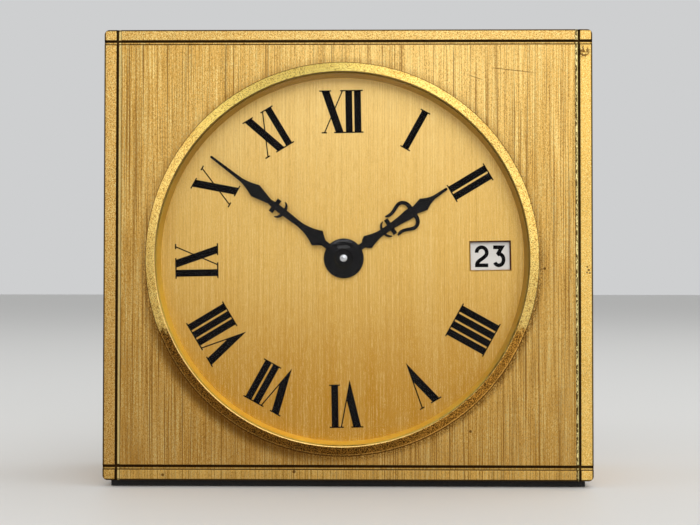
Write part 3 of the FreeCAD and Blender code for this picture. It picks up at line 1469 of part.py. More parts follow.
def make_key_wing():
    """The wing, folded down flat: a knuckle on the pin, a neck and a wide rounded plate."""
    x, z = barrel_centre
    neck_half = key_slot_width / 2 - 0.1
    front = key_pin_depth - key_wing_thickness / 2
    back = key_pin_depth + key_wing_thickness / 2
    knuckle = Part.makeCylinder(key_knuckle_radius, 2 * neck_half,
                                Vector(x - neck_half, front_y + key_pin_depth, z), Vector(1, 0, 0))
    shoulder = key_hub_radius + 0.4
    neck = block(x - neck_half, x + neck_half, z - shoulder - 1, z, front, back)
    plate = block(x - key_wing_width / 2, x + key_wing_width / 2, z - key_wing_length, z - shoulder,
                  front, back)
    corners = [edge for edge in plate.Edges
               if abs(edge.Vertexes[0].Point.y - edge.Vertexes[1].Point.y) > 1e-6]
    plate = plate.makeFillet(2.2, corners)
    wing = fused([knuckle, neck, plate])
    return wing.cut(Part.makeCylinder(key_pin_radius + running_clearance, 2 * key_hub_radius,
                                      Vector(x - key_hub_radius, front_y + key_pin_depth, z),
                                      Vector(1, 0, 0)))


nodes["ratchet_wheel"] = make_ratchet_wheel()
nodes["click"] = make_click()
click_screw = screw(click_centre, ratchet_depth + click_thickness + 0.1, back_plate_depth + 0.2,
                    plate_screw_radius, 1.8, 0.8)
nodes["fitting_screws"] = grouped([jumper_screw, cock_screw, click_screw])
nodes["click_spring"] = make_click_spring()
nodes["setting_knob"] = make_setting_knob()
nodes["winding_key"] = make_winding_key()
nodes["key_wing"] = make_key_wing()
nodes["key_pin"] = Part.makeCylinder(
    key_pin_radius, 2 * (key_hub_radius - 0.4),
    Vector(barrel_centre[0] - key_hub_radius + 0.4, front_y + key_pin_depth, barrel_centre[1]),
    Vector(1, 0, 0))

os.makedirs("parts", exist_ok=True)
for name, shape in nodes.items():
    shape.exportStep("parts/" + name + ".step")
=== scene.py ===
import json
import math

import bpy
from mathutils import Matrix, Vector


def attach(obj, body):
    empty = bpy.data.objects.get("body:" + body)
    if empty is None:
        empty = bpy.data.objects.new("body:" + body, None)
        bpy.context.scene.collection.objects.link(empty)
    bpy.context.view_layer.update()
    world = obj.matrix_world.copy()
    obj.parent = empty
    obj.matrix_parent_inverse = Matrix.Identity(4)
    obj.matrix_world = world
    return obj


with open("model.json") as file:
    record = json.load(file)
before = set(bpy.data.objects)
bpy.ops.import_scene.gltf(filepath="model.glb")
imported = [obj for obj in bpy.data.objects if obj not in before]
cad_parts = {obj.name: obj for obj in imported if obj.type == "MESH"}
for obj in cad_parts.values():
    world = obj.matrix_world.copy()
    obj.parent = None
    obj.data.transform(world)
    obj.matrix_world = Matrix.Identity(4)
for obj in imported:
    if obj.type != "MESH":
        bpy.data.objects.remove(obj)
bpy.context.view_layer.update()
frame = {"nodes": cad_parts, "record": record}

# The looks of the desk clock. The row frame is in metres: X right, Y back, Z up.
# Materials work in millimetres of the same frame, so their sizes read as real ones.

MM = 0.001
FRONT_Y = -17.0             # the case's front face, mm
FACE_CENTRE = (-1.1, 44.6)  # centre of the bezel, x and z, mm
DIAL_CENTRE = (-0.8, 44.7)  # centre of the dial and of the date ring, x and z, mm


# ---------------------------------------------------------------- camera
EYE = (3.46, -251.8, 39.0)        # mm
EYE_TURN = (-0.73, 1.18, -0.044)  # yaw, pitch and roll, degrees
LENS = 61.7                       # focal length, mm
SENSOR = 36.0                     # sensor width, mm


def make_camera():
    """The photograph's eye: straight ahead of the face, a little below its middle."""
    data = bpy.data.cameras.new("eye")
    camera = bpy.data.objects.new("eye", data)
    bpy.context.scene.collection.objects.link(camera)
    data.sensor_width = SENSOR
    data.lens = LENS
    data.clip_start = 0.01
    data.clip_end = 50.0
    yaw, pitch, roll = (math.radians(angle) for angle in EYE_TURN)
    forward = Vector((math.sin(yaw) * math.cos(pitch),
                      math.cos(yaw) * math.cos(pitch),
                      math.sin(pitch)))
    right = forward.cross(Vector((0, 0, 1))).normalized()
    up = right.cross(forward)
    turn = Matrix.Rotation(roll, 3, forward)
    right = turn @ right
    up = turn @ up
    camera.matrix_world = Matrix((
        (right.x, up.x, -forward.x, EYE[0] * MM),
        (right.y, up.y, -forward.y, EYE[1] * MM),
        (right.z, up.z, -forward.z, EYE[2] * MM),
        (0, 0, 0, 1)))
    bpy.context.scene.camera = camera


make_camera()
bpy.context.scene.view_settings.view_transform = "Standard"


# ---------------------------------------------------------------- node helpers
def srgb(red, green, blue):
    """A colour given in 0 to 255 display values, as the linear values that shaders take."""
    def linear(value):
        value = value / 255.0
        if value <= 0.04045:
            return value / 12.92
        return ((value + 0.055) / 1.055) ** 2.4
    return (linear(red), linear(green), linear(blue), 1.0)


class Graph:
    """A material's node tree, with one short method for each kind of node used here."""

    def __init__(self, name):
        self.material = bpy.data.materials.new(name)
        self.material.use_nodes = True
        self.tree = self.material.node_tree
        self.tree.nodes.clear()
        self.output = self.tree.nodes.new("ShaderNodeOutputMaterial")
        self.shader = self.tree.nodes.new("ShaderNodeBsdfPrincipled")
        self.tree.links.new(self.shader.outputs[0], self.output.inputs[0])
        coordinates = self.tree.nodes.new("ShaderNodeTexCoord")
        self.place = self.scaled(coordinates.outputs["Object"], 1000, 1000, 1000)
        self.x, self.y, self.z = self.split(self.place)
        self.nx, self.ny, self.nz = self.split(coordinates.outputs["Normal"])

    def feed(self, socket, value):
        """Sets a socket to a plain value, or links it to another node's output."""
        if isinstance(value, bpy.types.NodeSocket):
            self.tree.links.new(value, socket)
        else:
            socket.default_value = value

    def split(self, vector):
        node = self.tree.nodes.new("ShaderNodeSeparateXYZ")
        self.feed(node.inputs[0], vector)
        return node.outputs[0], node.outputs[1], node.outputs[2]

    def join(self, x, y, z):
        node = self.tree.nodes.new("ShaderNodeCombineXYZ")
        self.feed(node.inputs[0], x)
        self.feed(node.inputs[1], y)
        self.feed(node.inputs[2], z)
        return node.outputs[0]

    def scaled(self, vector, x, y, z):
        node = self.tree.nodes.new("ShaderNodeVectorMath")
        node.operation = "MULTIPLY"
        self.feed(node.inputs[0], vector)
        self.feed(node.inputs[1], (x, y, z))
        return node.outputs[0]

    def moved(self, vector, x, y, z):
        node = self.tree.nodes.new("ShaderNodeVectorMath")
        node.operation = "ADD"
        self.feed(node.inputs[0], vector)
        self.feed(node.inputs[1], (x, y, z))
        return node.outputs[0]

    def math(self, operation, a, b=0.0):
        node = self.tree.nodes.new("ShaderNodeMath")
        node.operation = operation
        self.feed(node.inputs[0], a)
        self.feed(node.inputs[1], b)
        return node.outputs[0]

    def times(self, a, b):
        return self.math("MULTIPLY", a, b)

    def plus(self, a, b):
        return self.math("ADD", a, b)

    def most(self, a, b):
        return self.math("MAXIMUM", a, b)

    def inverse(self, a):
        return self.math("SUBTRACT", 1.0, a)

    def size(self, a):
        return self.math("ABSOLUTE", a)

    def span(self, value, low, high, to_low=0.0, to_high=1.0):
        """A smooth step: to_low where value is below low, to_high where it is above high."""
        node = self.tree.nodes.new("ShaderNodeMapRange")
        node.interpolation_type = "SMOOTHSTEP"
        node.clamp = True
        if high < low:
            low, high, to_low, to_high = high, low, to_high, to_low
        self.feed(node.inputs["Value"], value)
        self.feed(node.inputs["From Min"], low)
        self.feed(node.inputs["From Max"], high)
        self.feed(node.inputs["To Min"], to_low)
        self.feed(node.inputs["To Max"], to_high)
        return node.outputs[0]

    def noise(self, vector, scale, detail, roughness, distortion=0.0):
        """Smooth noise around 0.5; about scale blotches fit in one unit of the vector."""
        node = self.tree.nodes.new("ShaderNodeTexNoise")
        self.feed(node.inputs["Vector"], vector)
        self.feed(node.inputs["Scale"], scale)
        self.feed(node.inputs["Detail"], detail)
        self.feed(node.inputs["Roughness"], roughness)
        self.feed(node.inputs["Distortion"], distortion)
        return node.outputs[0]

    def cells(self, vector, scale):
        """Distance to the nearest of scattered points: small only in round spots."""
        node = self.tree.nodes.new("ShaderNodeTexVoronoi")
        self.feed(node.inputs["Vector"], vector)
        self.feed(node.inputs["Scale"], scale)
        return node.outputs["Distance"]

    def mix(self, share, a, b):
        node = self.tree.nodes.new("ShaderNodeMix")
        node.data_type = "RGBA"
        self.feed(node.inputs[0], share)
        self.feed(node.inputs[6], a)
        self.feed(node.inputs[7], b)
        return node.outputs[2]

    def bump(self, height, distance, strength):
        """A normal from a height; distance is the relief's depth in mm."""
        node = self.tree.nodes.new("ShaderNodeBump")
        self.feed(node.inputs["Height"], height)
        self.feed(node.inputs["Distance"], distance * MM)
        self.feed(node.inputs["Strength"], strength)
        return node.outputs[0]

    def set(self, **values):
        """Feeds the shader's sockets; underscores stand for spaces in their names."""
        for name, value in values.items():
            self.feed(self.shader.inputs[name.replace("_", " ")], value)

    def reach(self, centre):
        """Distance from a centre on the front, mm."""
        dx = self.plus(self.x, -centre[0])
        dz = self.plus(self.z, -centre[1])
        squares = self.plus(self.times(dx, dx), self.times(dz, dz))
        return self.math("POWER", squares, 0.5)

    def toward(self, centre, clock_angle):
        """1 on the side of a centre at a clock angle, 0 abreast of it, -1 opposite."""
        dx = self.plus(self.x, -centre[0])
        dz = self.plus(self.z, -centre[1])
        turn = math.radians(clock_angle)
        along = self.plus(self.times(dx, math.sin(turn)), self.times(dz, math.cos(turn)))
        return self.math("DIVIDE", along, self.reach(centre))

    def spot(self, x, z, radius):
        """1 inside a round spot on the front, fading out at its edge."""
        return self.span(self.reach((x, z)), radius * 1.25, radius * 0.6)

    def scratch(self, x0, z0, x1, z1, width):
        """1 along a straight scratch on the front face."""
        length = math.hypot(x1 - x0, z1 - z0)
        ux, uz = (x1 - x0) / length, (z1 - z0) / length
        along = self.plus(self.times(self.x, ux), self.times(self.z, uz))
        along = self.plus(along, -(x0 * ux + z0 * uz))
        across = self.plus(self.times(self.x, -uz), self.times(self.z, ux))
        across = self.size(self.plus(across, x0 * uz - z0 * ux))
        inside = self.times(self.span(along, 0, 1.5), self.span(along, length, length - 1.5))
        return self.times(inside, self.span(across, width, width * 0.3))


# ---------------------------------------------------------------- the case's brass
# All in mm. A strip is the band of the front outside a groove; each pair of values is
# where its tone starts to fade in and where it is complete.
GROOVE_X = 45.06              # middle of a side groove, from the middle of the case
GROOVE_LEVEL = (3.8, 87.1)    # heights of the lower and the upper groove
SIDE_STRIP = (44.9, 45.2)
TOP_STRIP = (86.9, 87.3)
BOTTOM_STRIP = (3.8, 3.6)
SHEEN_CENTRE = (14.0, 92.0)  # x and z of the middle of the painted sheen, where the front is palest
# Small brown spots of the front: x, z and radius. The last four are one cluster.
SPOTS = ((-10.43, 2.98, 0.35), (-36.15, 2.31, 0.3), (23.98, 10.88, 0.3),
         (38.5, 42.67, 0.3), (46.8, 43.0, 0.19), (47.1, 42.4, 0.24),
         (46.75, 41.9, 0.18), (47.3, 41.8, 0.18))


def case_brass():
    """Brushed gilt brass: coarse upright lines, a brown bloom low down, painted shade and dirt
    in the grooves, and painted light and shade across the front.
    """
    g = Graph("case_brass")
    level = g.span(g.size(g.nz), 0.6, 0.8)          # 1 on the top and bottom faces
    front = g.span(g.ny, -0.6, -0.9)                # 1 on the front face

    def lines(across, along, detail):
        upright = g.noise(g.scaled(g.place, across, across, along), 1.0, detail, 0.6)
        lying = g.noise(g.scaled(g.place, along, across, across), 1.0, detail, 0.6)
        return g.plus(g.times(upright, g.inverse(level)), g.times(lying, level))

    coarse = lines(10.2, 0.10, 1.0)
    fine = lines(13.0, 1.6, 1.0)
    deep = lines(4.2, 0.022, 1.0)
    grain = g.noise(g.place, 6.2, 2.0, 0.7)
    thread = lines(9.2, 0.03, 0.0)
    pepper = g.noise(g.scaled(g.place, 6.4, 6.4, 3.0), 1.0, 2.0, 0.7)
    low = g.span(g.z, 84.0, 4.0)
    strips = g.most(g.span(g.size(g.x), *SIDE_STRIP), g.span(g.z, *TOP_STRIP))
    tone = g.plus(g.times(coarse, 1.15), g.plus(g.times(fine, 0.85), g.times(grain, 1.10)))
    pitted = g.plus(g.times(g.noise(g.place, 5.4, 1.0, 0.6), 2.4), 0.35)
    share = g.times(g.times(strips, front), 0.75)
    tone = g.plus(g.times(tone, g.inverse(share)), g.times(pitted, share))
    contrast = g.plus(0.30, g.times(front, 0.62))   # the other faces are more evenly brushed
    right = g.times(front, g.span(g.x, *SIDE_STRIP))
    bright_side = g.inverse(g.times(right, 0.5))

    broad = g.noise(g.scaled(g.place, 0.16, 0.16, 0.03), 1.0, 2.0, 0.5)
    colour = g.mix(g.span(broad, 0.35, 0.65), srgb(226, 177, 88), srgb(238, 190, 101))
    # Painted shade: the brass darker towards the left.
    colour = g.mix(g.times(g.span(g.x, 30.0, -42.0), 0.14), colour, srgb(194, 138, 62))
    # Painted highlight: a pale pool of light on the front towards the upper right.
    painted_sheen = g.times(g.span(g.reach(SHEEN_CENTRE), 52.0, 8.0), front)
    colour = g.mix(g.times(painted_sheen, 0.35), colour, srgb(255, 222, 146))

    # The edge strips outside the grooves have their own tones.
    left = g.times(front, g.span(g.x, -SIDE_STRIP[0], -SIDE_STRIP[1]))
    top = g.times(front, g.span(g.z, *TOP_STRIP))
    colour = g.mix(g.times(left, 0.5), colour, srgb(246, 194, 104))
    colour = g.mix(g.times(right, 0.9), colour, srgb(250, 204, 106))
    colour = g.mix(g.times(top, 0.5), colour, srgb(238, 194, 110))
    bottom = g.times(front, g.span(g.z, *BOTTOM_STRIP))
    colour = g.mix(bottom, colour, srgb(255, 207, 109))
    colour = g.mix(g.times(g.span(tone, 1.60, 1.86), contrast), colour, srgb(255, 236, 162))
    worn = g.times(g.times(contrast, 0.9), bright_side)
    colour = g.mix(g.times(g.span(tone, 1.49, 1.24), worn), colour, srgb(138, 96, 38))
    threads = g.times(g.times(g.span(thread, 0.35, 0.27), front), 0.75)
    threads = g.times(threads, g.inverse(g.times(strips, 0.9)))
    colour = g.mix(threads, colour, srgb(112, 74, 26))
    pepper = g.times(g.times(g.span(pepper, 0.57, 0.66), front), 0.40)
    colour = g.mix(pepper, colour, srgb(106, 68, 24))
    scored = g.times(g.span(deep, 0.36, 0.27), g.inverse(g.times(strips, 0.8)))
    scored = g.times(scored, contrast)
    colour = g.mix(g.times(scored, 0.62), colour, srgb(104, 66, 24))

    # A brown, speckled bloom that thickens towards the foot.
    patches = g.noise(g.place, 0.09, 3.0, 0.6)
    bloom = g.times(g.span(grain, 0.48, 0.62), g.span(patches, 0.35, 0.62))
    bloom = g.times(g.times(bloom, g.plus(0.12, g.times(low, 0.28))), contrast)
    colour = g.mix(bloom, colour, srgb(118, 74, 26))
    # Painted shade: darker towards the foot and the left, weaker on the right-hand strip.
    shade = g.plus(0.20, g.times(front, 0.22))
    shade = g.times(shade, g.inverse(g.times(right, 0.85)))
    shade = g.times(shade, g.span(g.x, -12.0, 34.0, 1.0, 0.74))
    colour = g.mix(g.times(low, shade), colour, srgb(124, 78, 18))
    away = g.reach(FACE_CENTRE)
    # Painted shadow of the bezel on the front, towards its lower left.
    painted_bezel_shadow = g.times(g.span(away, 41.4, 39.4),
                          g.span(g.toward(FACE_CENTRE, 218.0), 0.72, 0.985))
    colour = g.mix(g.times(g.times(painted_bezel_shadow, front), 0.72), colour, srgb(84, 50, 10))
    # Painted shadow in a speckled ring just outside the bezel, heavier towards the foot.
    speckled_bezel_shadow = g.times(g.span(away, 40.1, 38.9), g.span(grain, 0.44, 0.54))
    speckled_bezel_shadow = g.times(speckled_bezel_shadow, g.span(g.z, 60.0, 30.0, 0.35, 0.85))
    colour = g.mix(g.times(speckled_bezel_shadow, front), colour, srgb(96, 58, 16))

    # Single marks: brown spots, one ragged stain and two long scratches.
    ragged = g.noise(g.place, 1.6, 3.0, 0.7)
    marks = g.times(g.spot(46.2, 85.2, 1.25), g.span(ragged, 0.46, 0.50))
    for x, z, radius in SPOTS:
        marks = g.most(marks, g.spot(x, z, radius))
    crumbs = g.times(g.span(g.noise(g.place, 3.4, 2.0, 0.6), 0.56, 0.61),
                     g.span(g.plus(away, g.times(g.span(g.z, 34.0, 58.0), 0.5)), 40.0, 39.0))
    marks = g.most(marks, g.times(crumbs, g.span(g.x, 10.0, 24.0, 0.0, 0.75)))
    marks = g.times(marks, front)
    colour = g.mix(g.times(marks, 0.85), colour, srgb(88, 50, 16))
    scratches = g.most(g.scratch(27.7, 82.1, 36.8, 81.05, 0.14),
                       g.scratch(22.96, 80.9, 27.0, 79.5, 0.12))
    scratches = g.times(scratches, front)
    colour = g.mix(g.times(scratches, 0.7), colour, srgb(110, 74, 30))

    # Painted shade in the grooves: a dark line along the outer or upper wall, a thin dark line
    # opposite, and a painted highlight along the floor; real dirt as broken flecks on the floor
    # of the right-hand groove.
    sunk = g.times(g.span(g.y, FRONT_Y + 0.004, FRONT_Y + 0.05),
                   g.span(g.y, FRONT_Y + 1.2, FRONT_Y + 0.8))
    side = g.plus(g.size(g.x), -GROOVE_X)
    lower, upper = GROOVE_LEVEL
    lift = g.plus(g.z, -(lower + upper) / 2)
    up = g.math("SUBTRACT", g.size(lift), (upper - lower) / 2)
    up = g.times(up, g.math("SIGN", lift))
    deepest = g.span(g.z, 40.0, 30.0, 0.0, -0.16)    # in the lower groove the dark line reaches further down
    wall = g.most(g.times(g.span(side, 0.0, 0.14), g.span(side, 0.62, 0.5)),
                  g.times(g.span(g.math("SUBTRACT", up, deepest), 0.0, 0.14),
                          g.span(up, 0.62, 0.5)))
    edge = g.span(g.z, 40.0, 30.0, -0.27, -0.46)
    beside = g.size(g.math("SUBTRACT", up, edge))
    thin = g.most(g.times(g.span(side, -0.32, -0.40), g.span(side, -0.62, -0.54)),
                  g.span(beside, 0.15, 0.09))
    broken = g.span(g.noise(g.scaled(g.place, 3.4, 3.4, 1.3), 1.0, 3.0, 0.7), 0.46, 0.51)
    flecks = g.times(broken, g.times(g.span(g.x, 44.42, 44.5), g.span(g.x, 45.08, 45.0)))
    groove_shade_and_dirt = g.most(g.most(wall, g.times(thin, 0.80)), g.times(flecks, 0.8))
    groove_shade_and_dirt = g.times(groove_shade_and_dirt, sunk)
    floor_shine = g.times(g.times(g.span(g.size(side), 0.45, 0.3), sunk), g.inverse(groove_shade_and_dirt))
    colour = g.mix(g.times(floor_shine, g.span(g.x, 44.0, 44.6, 0.4, 0.9)), colour,
                   srgb(255, 240, 168))
    colour = g.mix(g.times(groove_shade_and_dirt, 0.95), colour, srgb(38, 20, 6))

    # The rounded rim of the front is darkened.
    rim = g.most(g.span(g.size(g.x), 47.58, 47.74),
                 g.most(g.span(g.z, 89.28, 89.44), g.span(g.z, 1.62, 1.46)))
    rim = g.times(rim, g.span(g.y, FRONT_Y + 0.9, FRONT_Y + 0.3))
    colour = g.mix(g.times(rim, 0.92), colour, srgb(40, 24, 8))

    stroke = g.times(tone, 0.32)
    roughness = g.plus(0.36, g.times(stroke, 0.2))
    roughness = g.plus(roughness, g.times(g.most(groove_shade_and_dirt, bloom), 0.22))
    height = g.plus(stroke, g.times(g.most(g.most(marks, scratches), scored), -0.5))
    height = g.times(height, contrast)
    g.set(Base_Color=colour, Metallic=1.0, Roughness=roughness,
          Normal=g.bump(height, 0.05, 0.8))
    return g.material


# ---------------------------------------------------------------- the bezel and its inner ring
def bezel_gold():
    """Gilt bezel with a fine cast grain: bright and pitted above, with a painted dark
    reflection below, speckled by the grain.
    """
    g = Graph("bezel_gold")
    radius = g.reach(FACE_CENTRE)
    grain = g.noise(g.place, 5.0, 1.0, 0.6)
    fray = g.plus(g.times(g.noise(g.place, 1.1, 3.0, 0.7), 7.0), -3.5)
    low = g.span(g.plus(g.z, fray), FACE_CENTRE[1] - 12.6, FACE_CENTRE[1] - 14.8)
    pits = g.span(g.cells(g.moved(g.place, 3.0, 1.0, 7.0), 1.6), 0.24, 0.12)
    pits = g.times(pits, g.span(g.noise(g.place, 0.35, 2.0, 0.5), 0.50, 0.62))
    chips = g.span(g.noise(g.moved(g.place, 11.0, 0.0, 5.0), 1.3, 4.0, 0.75), 0.60, 0.66)
    cone = g.times(g.span(radius, 36.56, 36.66), g.span(g.y, -16.9, -17.25))
    colour = g.mix(g.span(g.noise(g.place, 0.3, 2.0, 0.5), 0.3, 0.7),
                   srgb(240, 196, 100), srgb(248, 211, 118))
    # Painted highlight towards the top left of the bezel.
    lit = g.span(g.toward(FACE_CENTRE, 340.0), 0.80, 0.97)
    colour = g.mix(g.times(lit, 0.9), colour, srgb(255, 232, 122))
    colour = g.mix(g.times(g.span(grain, 0.48, 0.33), 0.85), colour, srgb(138, 86, 16))
    colour = g.mix(g.times(g.span(grain, 0.50, 0.63), 0.85), colour, srgb(255, 238, 152))
    colour = g.mix(g.times(g.times(chips, cone), 0.7), colour, srgb(150, 98, 38))
    colour = g.mix(g.times(pits, 0.75), colour, srgb(110, 66, 22))
    # Painted reflection of a dark surface below on the lower slope of the bezel: dark brown,
    # speckled with the grain, lighter towards the right.
    rightward = g.span(g.x, -6.0, 26.0)
    pale = g.mix(rightward, srgb(168, 112, 36), srgb(236, 176, 74))
    deep = g.mix(rightward, srgb(20, 8, 0), srgb(76, 42, 6))
    painted_shading = g.mix(g.span(grain, 0.42, 0.62), deep, pale)
    dark_reflection_below = g.times(low, cone)
    colour = g.mix(g.times(dark_reflection_below, 0.95), colour, painted_shading)
    seam = g.span(radius, 38.38, 38.5)
    colour = g.mix(g.times(seam, 0.85), colour, srgb(84, 52, 20))
    # A thin bright line along the outer edge of the lower bezel: painted glint, broken up like
    # worn gilt and brighter to the right.
    worn = g.times(g.span(g.size(g.plus(radius, -38.27)), 0.13, 0.06), low)
    worn = g.times(worn, g.span(g.noise(g.place, 1.4, 2.0, 0.6), 0.34, 0.54, 0.35, 0.8))
    colour = g.mix(g.times(worn, g.span(g.x, -10.0, 20.0, 0.30, 0.9)), colour,
                   srgb(255, 206, 110))
    # Painted light and shade on the inside edge: dark, but for a thin painted highlight at the
    # lower left.
    inner = g.span(radius, 36.60, 36.54)
    edge = g.mix(g.span(g.toward(FACE_CENTRE, 214.0), 0.3, 0.75),
                 srgb(84, 46, 8), srgb(250, 214, 140))
    colour = g.mix(g.times(inner, 0.85), colour, edge)
    roughness = g.plus(0.35, g.times(g.most(dark_reflection_below, pits), 0.25))
    height = g.plus(g.times(grain, -0.8), g.times(g.most(pits, chips), -0.8))
    g.set(Base_Color=colour, Metallic=1.0, Roughness=roughness,
          Normal=g.bump(height, 0.07, 0.8))
    return g.material


def dial_ring_gold():
    """The plain turned wall between the glass and the dial."""
    g = Graph("dial_ring_gold")
    turned = g.noise(g.join(0.0, g.times(g.y, 6.0), 0.0), 1.0, 2.0, 0.6)
    blotches = g.noise(g.place, 0.35, 3.0, 0.6)
    colour = g.mix(g.span(blotches, 0.3, 0.7), srgb(250, 228, 112), srgb(255, 240, 126))
    colour = g.mix(g.times(g.span(turned, 0.5, 0.35), 0.22), colour, srgb(170, 126, 44))
    # Painted shade: the wall turns dark brown away from its lower part, which stays bright.
    painted_shading = g.span(g.toward(FACE_CENTRE, 198.0), 0.9, -0.5)
    colour = g.mix(g.times(painted_shading, 0.74), colour, srgb(118, 72, 14))
    g.set(Base_Color=colour, Metallic=1.0, Roughness=0.42,
          Normal=g.bump(turned, 0.02, 0.5))
    return g.material


# ---------------------------------------------------------------- the dial
def dial_gilt():
    """Fine upright satin lines under a thin clear lacquer, deeper in tone towards the foot."""
    g = Graph("dial_gilt")
    long = g.noise(g.scaled(g.place, 10.5, 1.0, 0.035), 1.0, 1.0, 0.6)
    middling = g.noise(g.scaled(g.place, 10.5, 1.0, 0.45), 1.0, 1.0, 0.6)
    short = g.noise(g.scaled(g.place, 9.5, 1.0, 3.0), 1.0, 1.0, 0.6)
    fine = g.plus(g.times(long, 0.50), g.plus(g.times(middling, 0.36), g.times(short, 0.36)))
    fine = g.plus(fine, -0.11)
    coarse = g.noise(g.scaled(g.place, 5.2, 1.0, 0.02), 1.0, 1.0, 0.6)
    broad = g.noise(g.scaled(g.place, 0.22, 1.0, 0.03), 1.0, 2.0, 0.5)
    colour = g.mix(g.span(g.z, 84.0, 45.0), srgb(238, 200, 122), srgb(227, 182, 95))
    colour = g.mix(g.span(g.z, 50.0, 14.0), colour, srgb(190, 133, 24))
    colour = g.mix(g.times(g.span(coarse, 0.47, 0.28), 0.16), colour, srgb(178, 124, 50))
    colour = g.mix(g.span(broad, 0.3, 0.7, 0.05, 0.13), colour, srgb(255, 226, 152))
    colour = g.mix(g.times(g.span(fine, 0.5, 0.34), 0.36), colour, srgb(176, 124, 54))
    colour = g.mix(g.times(g.span(fine, 0.51, 0.66), 0.36), colour, srgb(255, 234, 170))
    stain = g.span(g.noise(g.place, 0.12, 3.0, 0.6), 0.56, 0.76)
    colour = g.mix(g.times(stain, 0.08), colour, srgb(180, 124, 50))
    # Painted shade on the window's cut edges that face down or to the left, brown above and to
    # the right; below and to the left they stay bright.
    cut = g.span(g.size(g.ny), 0.85, 0.75)
    shaded = g.span(g.most(g.times(g.nz, -1.0), g.times(g.nx, -1.0)), 0.3, 0.5)
    colour = g.mix(g.times(cut, shaded), colour, srgb(92, 52, 34))
    g.set(Base_Color=colour, Metallic=1.0,
          Roughness=g.plus(0.36, g.times(fine, 0.10)),
          Normal=g.bump(g.plus(fine, coarse), 0.012, 0.6))
    return g.material


def black_paint(name, roughness, shine):
    """Near-black lacquer."""
    g = Graph(name)
    mottled = g.noise(g.place, 2.0, 2.0, 0.5)
    colour = g.mix(mottled, srgb(4, 3, 4), srgb(9, 7, 9))
    g.set(Base_Color=colour, Metallic=0.0, Specular_IOR_Level=shine,
          Roughness=g.plus(roughness, g.times(mottled, 0.12)),
          Normal=g.bump(g.noise(g.place, 6.0, 2.0, 0.5), 0.002, 0.5))
    return g.material


def date_enamel():
    """White printed enamel, a little aged."""
    g = Graph("date_enamel")
    aged = g.noise(g.place, 0.25, 3.0, 0.6)
    colour = g.mix(aged, srgb(228, 226, 223), srgb(216, 212, 206))
    g.set(Base_Color=colour, Metallic=0.0, Roughness=0.42,
          Normal=g.bump(g.noise(g.place, 5.0, 2.0, 0.5), 0.004, 0.5))
    return g.material


def crystal_glass():
    """Clear flat glass. Lamp light, and what the metal behind it mirrors, pass straight
    through."""
    g = Graph("crystal_glass")
    g.set(Base_Color=(1.0, 1.0, 1.0, 1.0), Metallic=0.0, Roughness=0.0, IOR=1.15,
          Transmission_Weight=1.0)
    path = g.tree.nodes.new("ShaderNodeLightPath")
    clear = g.tree.nodes.new("ShaderNodeBsdfTransparent")
    shown = g.shader.outputs[0]
    for ray in ("Is Glossy Ray", "Is Shadow Ray"):
        either = g.tree.nodes.new("ShaderNodeMixShader")
        g.feed(either.inputs[0], path.outputs[ray])
        g.feed(either.inputs[1], shown)
        g.feed(either.inputs[2], clear.outputs[0])
        shown = either.outputs[0]
    g.feed(g.output.inputs[0], shown)
    return g.material


# ---------------------------------------------------------------- the rest of the metals
def brushed_metal(name, light, dark, roughness, stretch, line_depth=0.02):
    """Metal with fine lines; stretch is how many lines fit in a millimetre along each axis."""
    g = Graph(name)
    lines = g.noise(g.scaled(g.place, *stretch), 1.0, 3.0, 0.6)
    stains = g.noise(g.place, 0.12, 3.0, 0.6)
    colour = g.mix(g.span(lines, 0.3, 0.7), srgb(*dark), srgb(*light))
    colour = g.mix(g.times(g.span(stains, 0.5, 0.75), 0.3), colour, srgb(*dark))
    g.set(Base_Color=colour, Metallic=1.0,
          Roughness=g.plus(roughness, g.times(lines, 0.12)),
          Normal=g.bump(lines, line_depth, 0.6))
    return g.material


def felt():
    """Black wool felt."""
    g = Graph("felt")
    fibres = g.noise(g.place, 3.5, 4.0, 0.75, 0.6)
    colour = g.mix(g.span(fibres, 0.3, 0.7), srgb(6, 6, 7), srgb(26, 25, 25))
    g.set(Base_Color=colour, Metallic=0.0, Roughness=0.95, Sheen_Weight=0.35,
          Normal=g.bump(fibres, 0.12, 0.9))
    return g.material


def ruby():
    g = Graph("ruby")
    depth = g.noise(g.place, 1.5, 2.0, 0.5)
    g.set(Base_Color=g.mix(depth, srgb(150, 8, 34), srgb(196, 24, 58)), Metallic=0.0,
          Roughness=0.08, Coat_Weight=0.5)
    return g.material


def gasket():
    g = Graph("gasket")
    g.set(Base_Color=g.mix(g.noise(g.place, 1.5, 2.0, 0.5), srgb(26, 24, 22), srgb(44, 40, 36)),
          Metallic=0.0, Roughness=0.7)
    return g.material


materials = {
    "case_brass": case_brass(),
    "back_brass": brushed_metal("back_brass", (232, 194, 118), (214, 172, 96), 0.32,
                                (6.0, 6.0, 0.05)),
    "bezel_gold": bezel_gold(),
    "crystal_glass": crystal_glass(),
    "gasket": gasket(),
    "dial_ring_gold": dial_ring_gold(),
    "dial_gilt": dial_gilt(),
    "numeral_paint": black_paint("numeral_paint", 0.42, 0.06),
    "hand_paint": black_paint("hand_paint", 0.06, 0.22),
    "date_enamel": date_enamel(),
    "ruby": ruby(),
    "knob_brass": brushed_metal("knob_brass", (238, 200, 120), (228, 187, 106), 0.22,
                                (9.0, 9.0, 0.6), 0.003),
    "spring_steel": brushed_metal("spring_steel", (170, 178, 196), (122, 132, 154), 0.24,
                                  (8.0, 8.0, 0.6), 0.003),
    "polished_steel": brushed_metal("polished_steel", (214, 215, 218), (188, 190, 194), 0.20,
                                    (8.0, 8.0, 0.5), 0.002),
    "movement_brass": brushed_metal("movement_brass", (236, 200, 124), (218, 180, 106), 0.26,
                                    (8.0, 8.0, 0.12), 0.004),
    "felt": felt(),
}


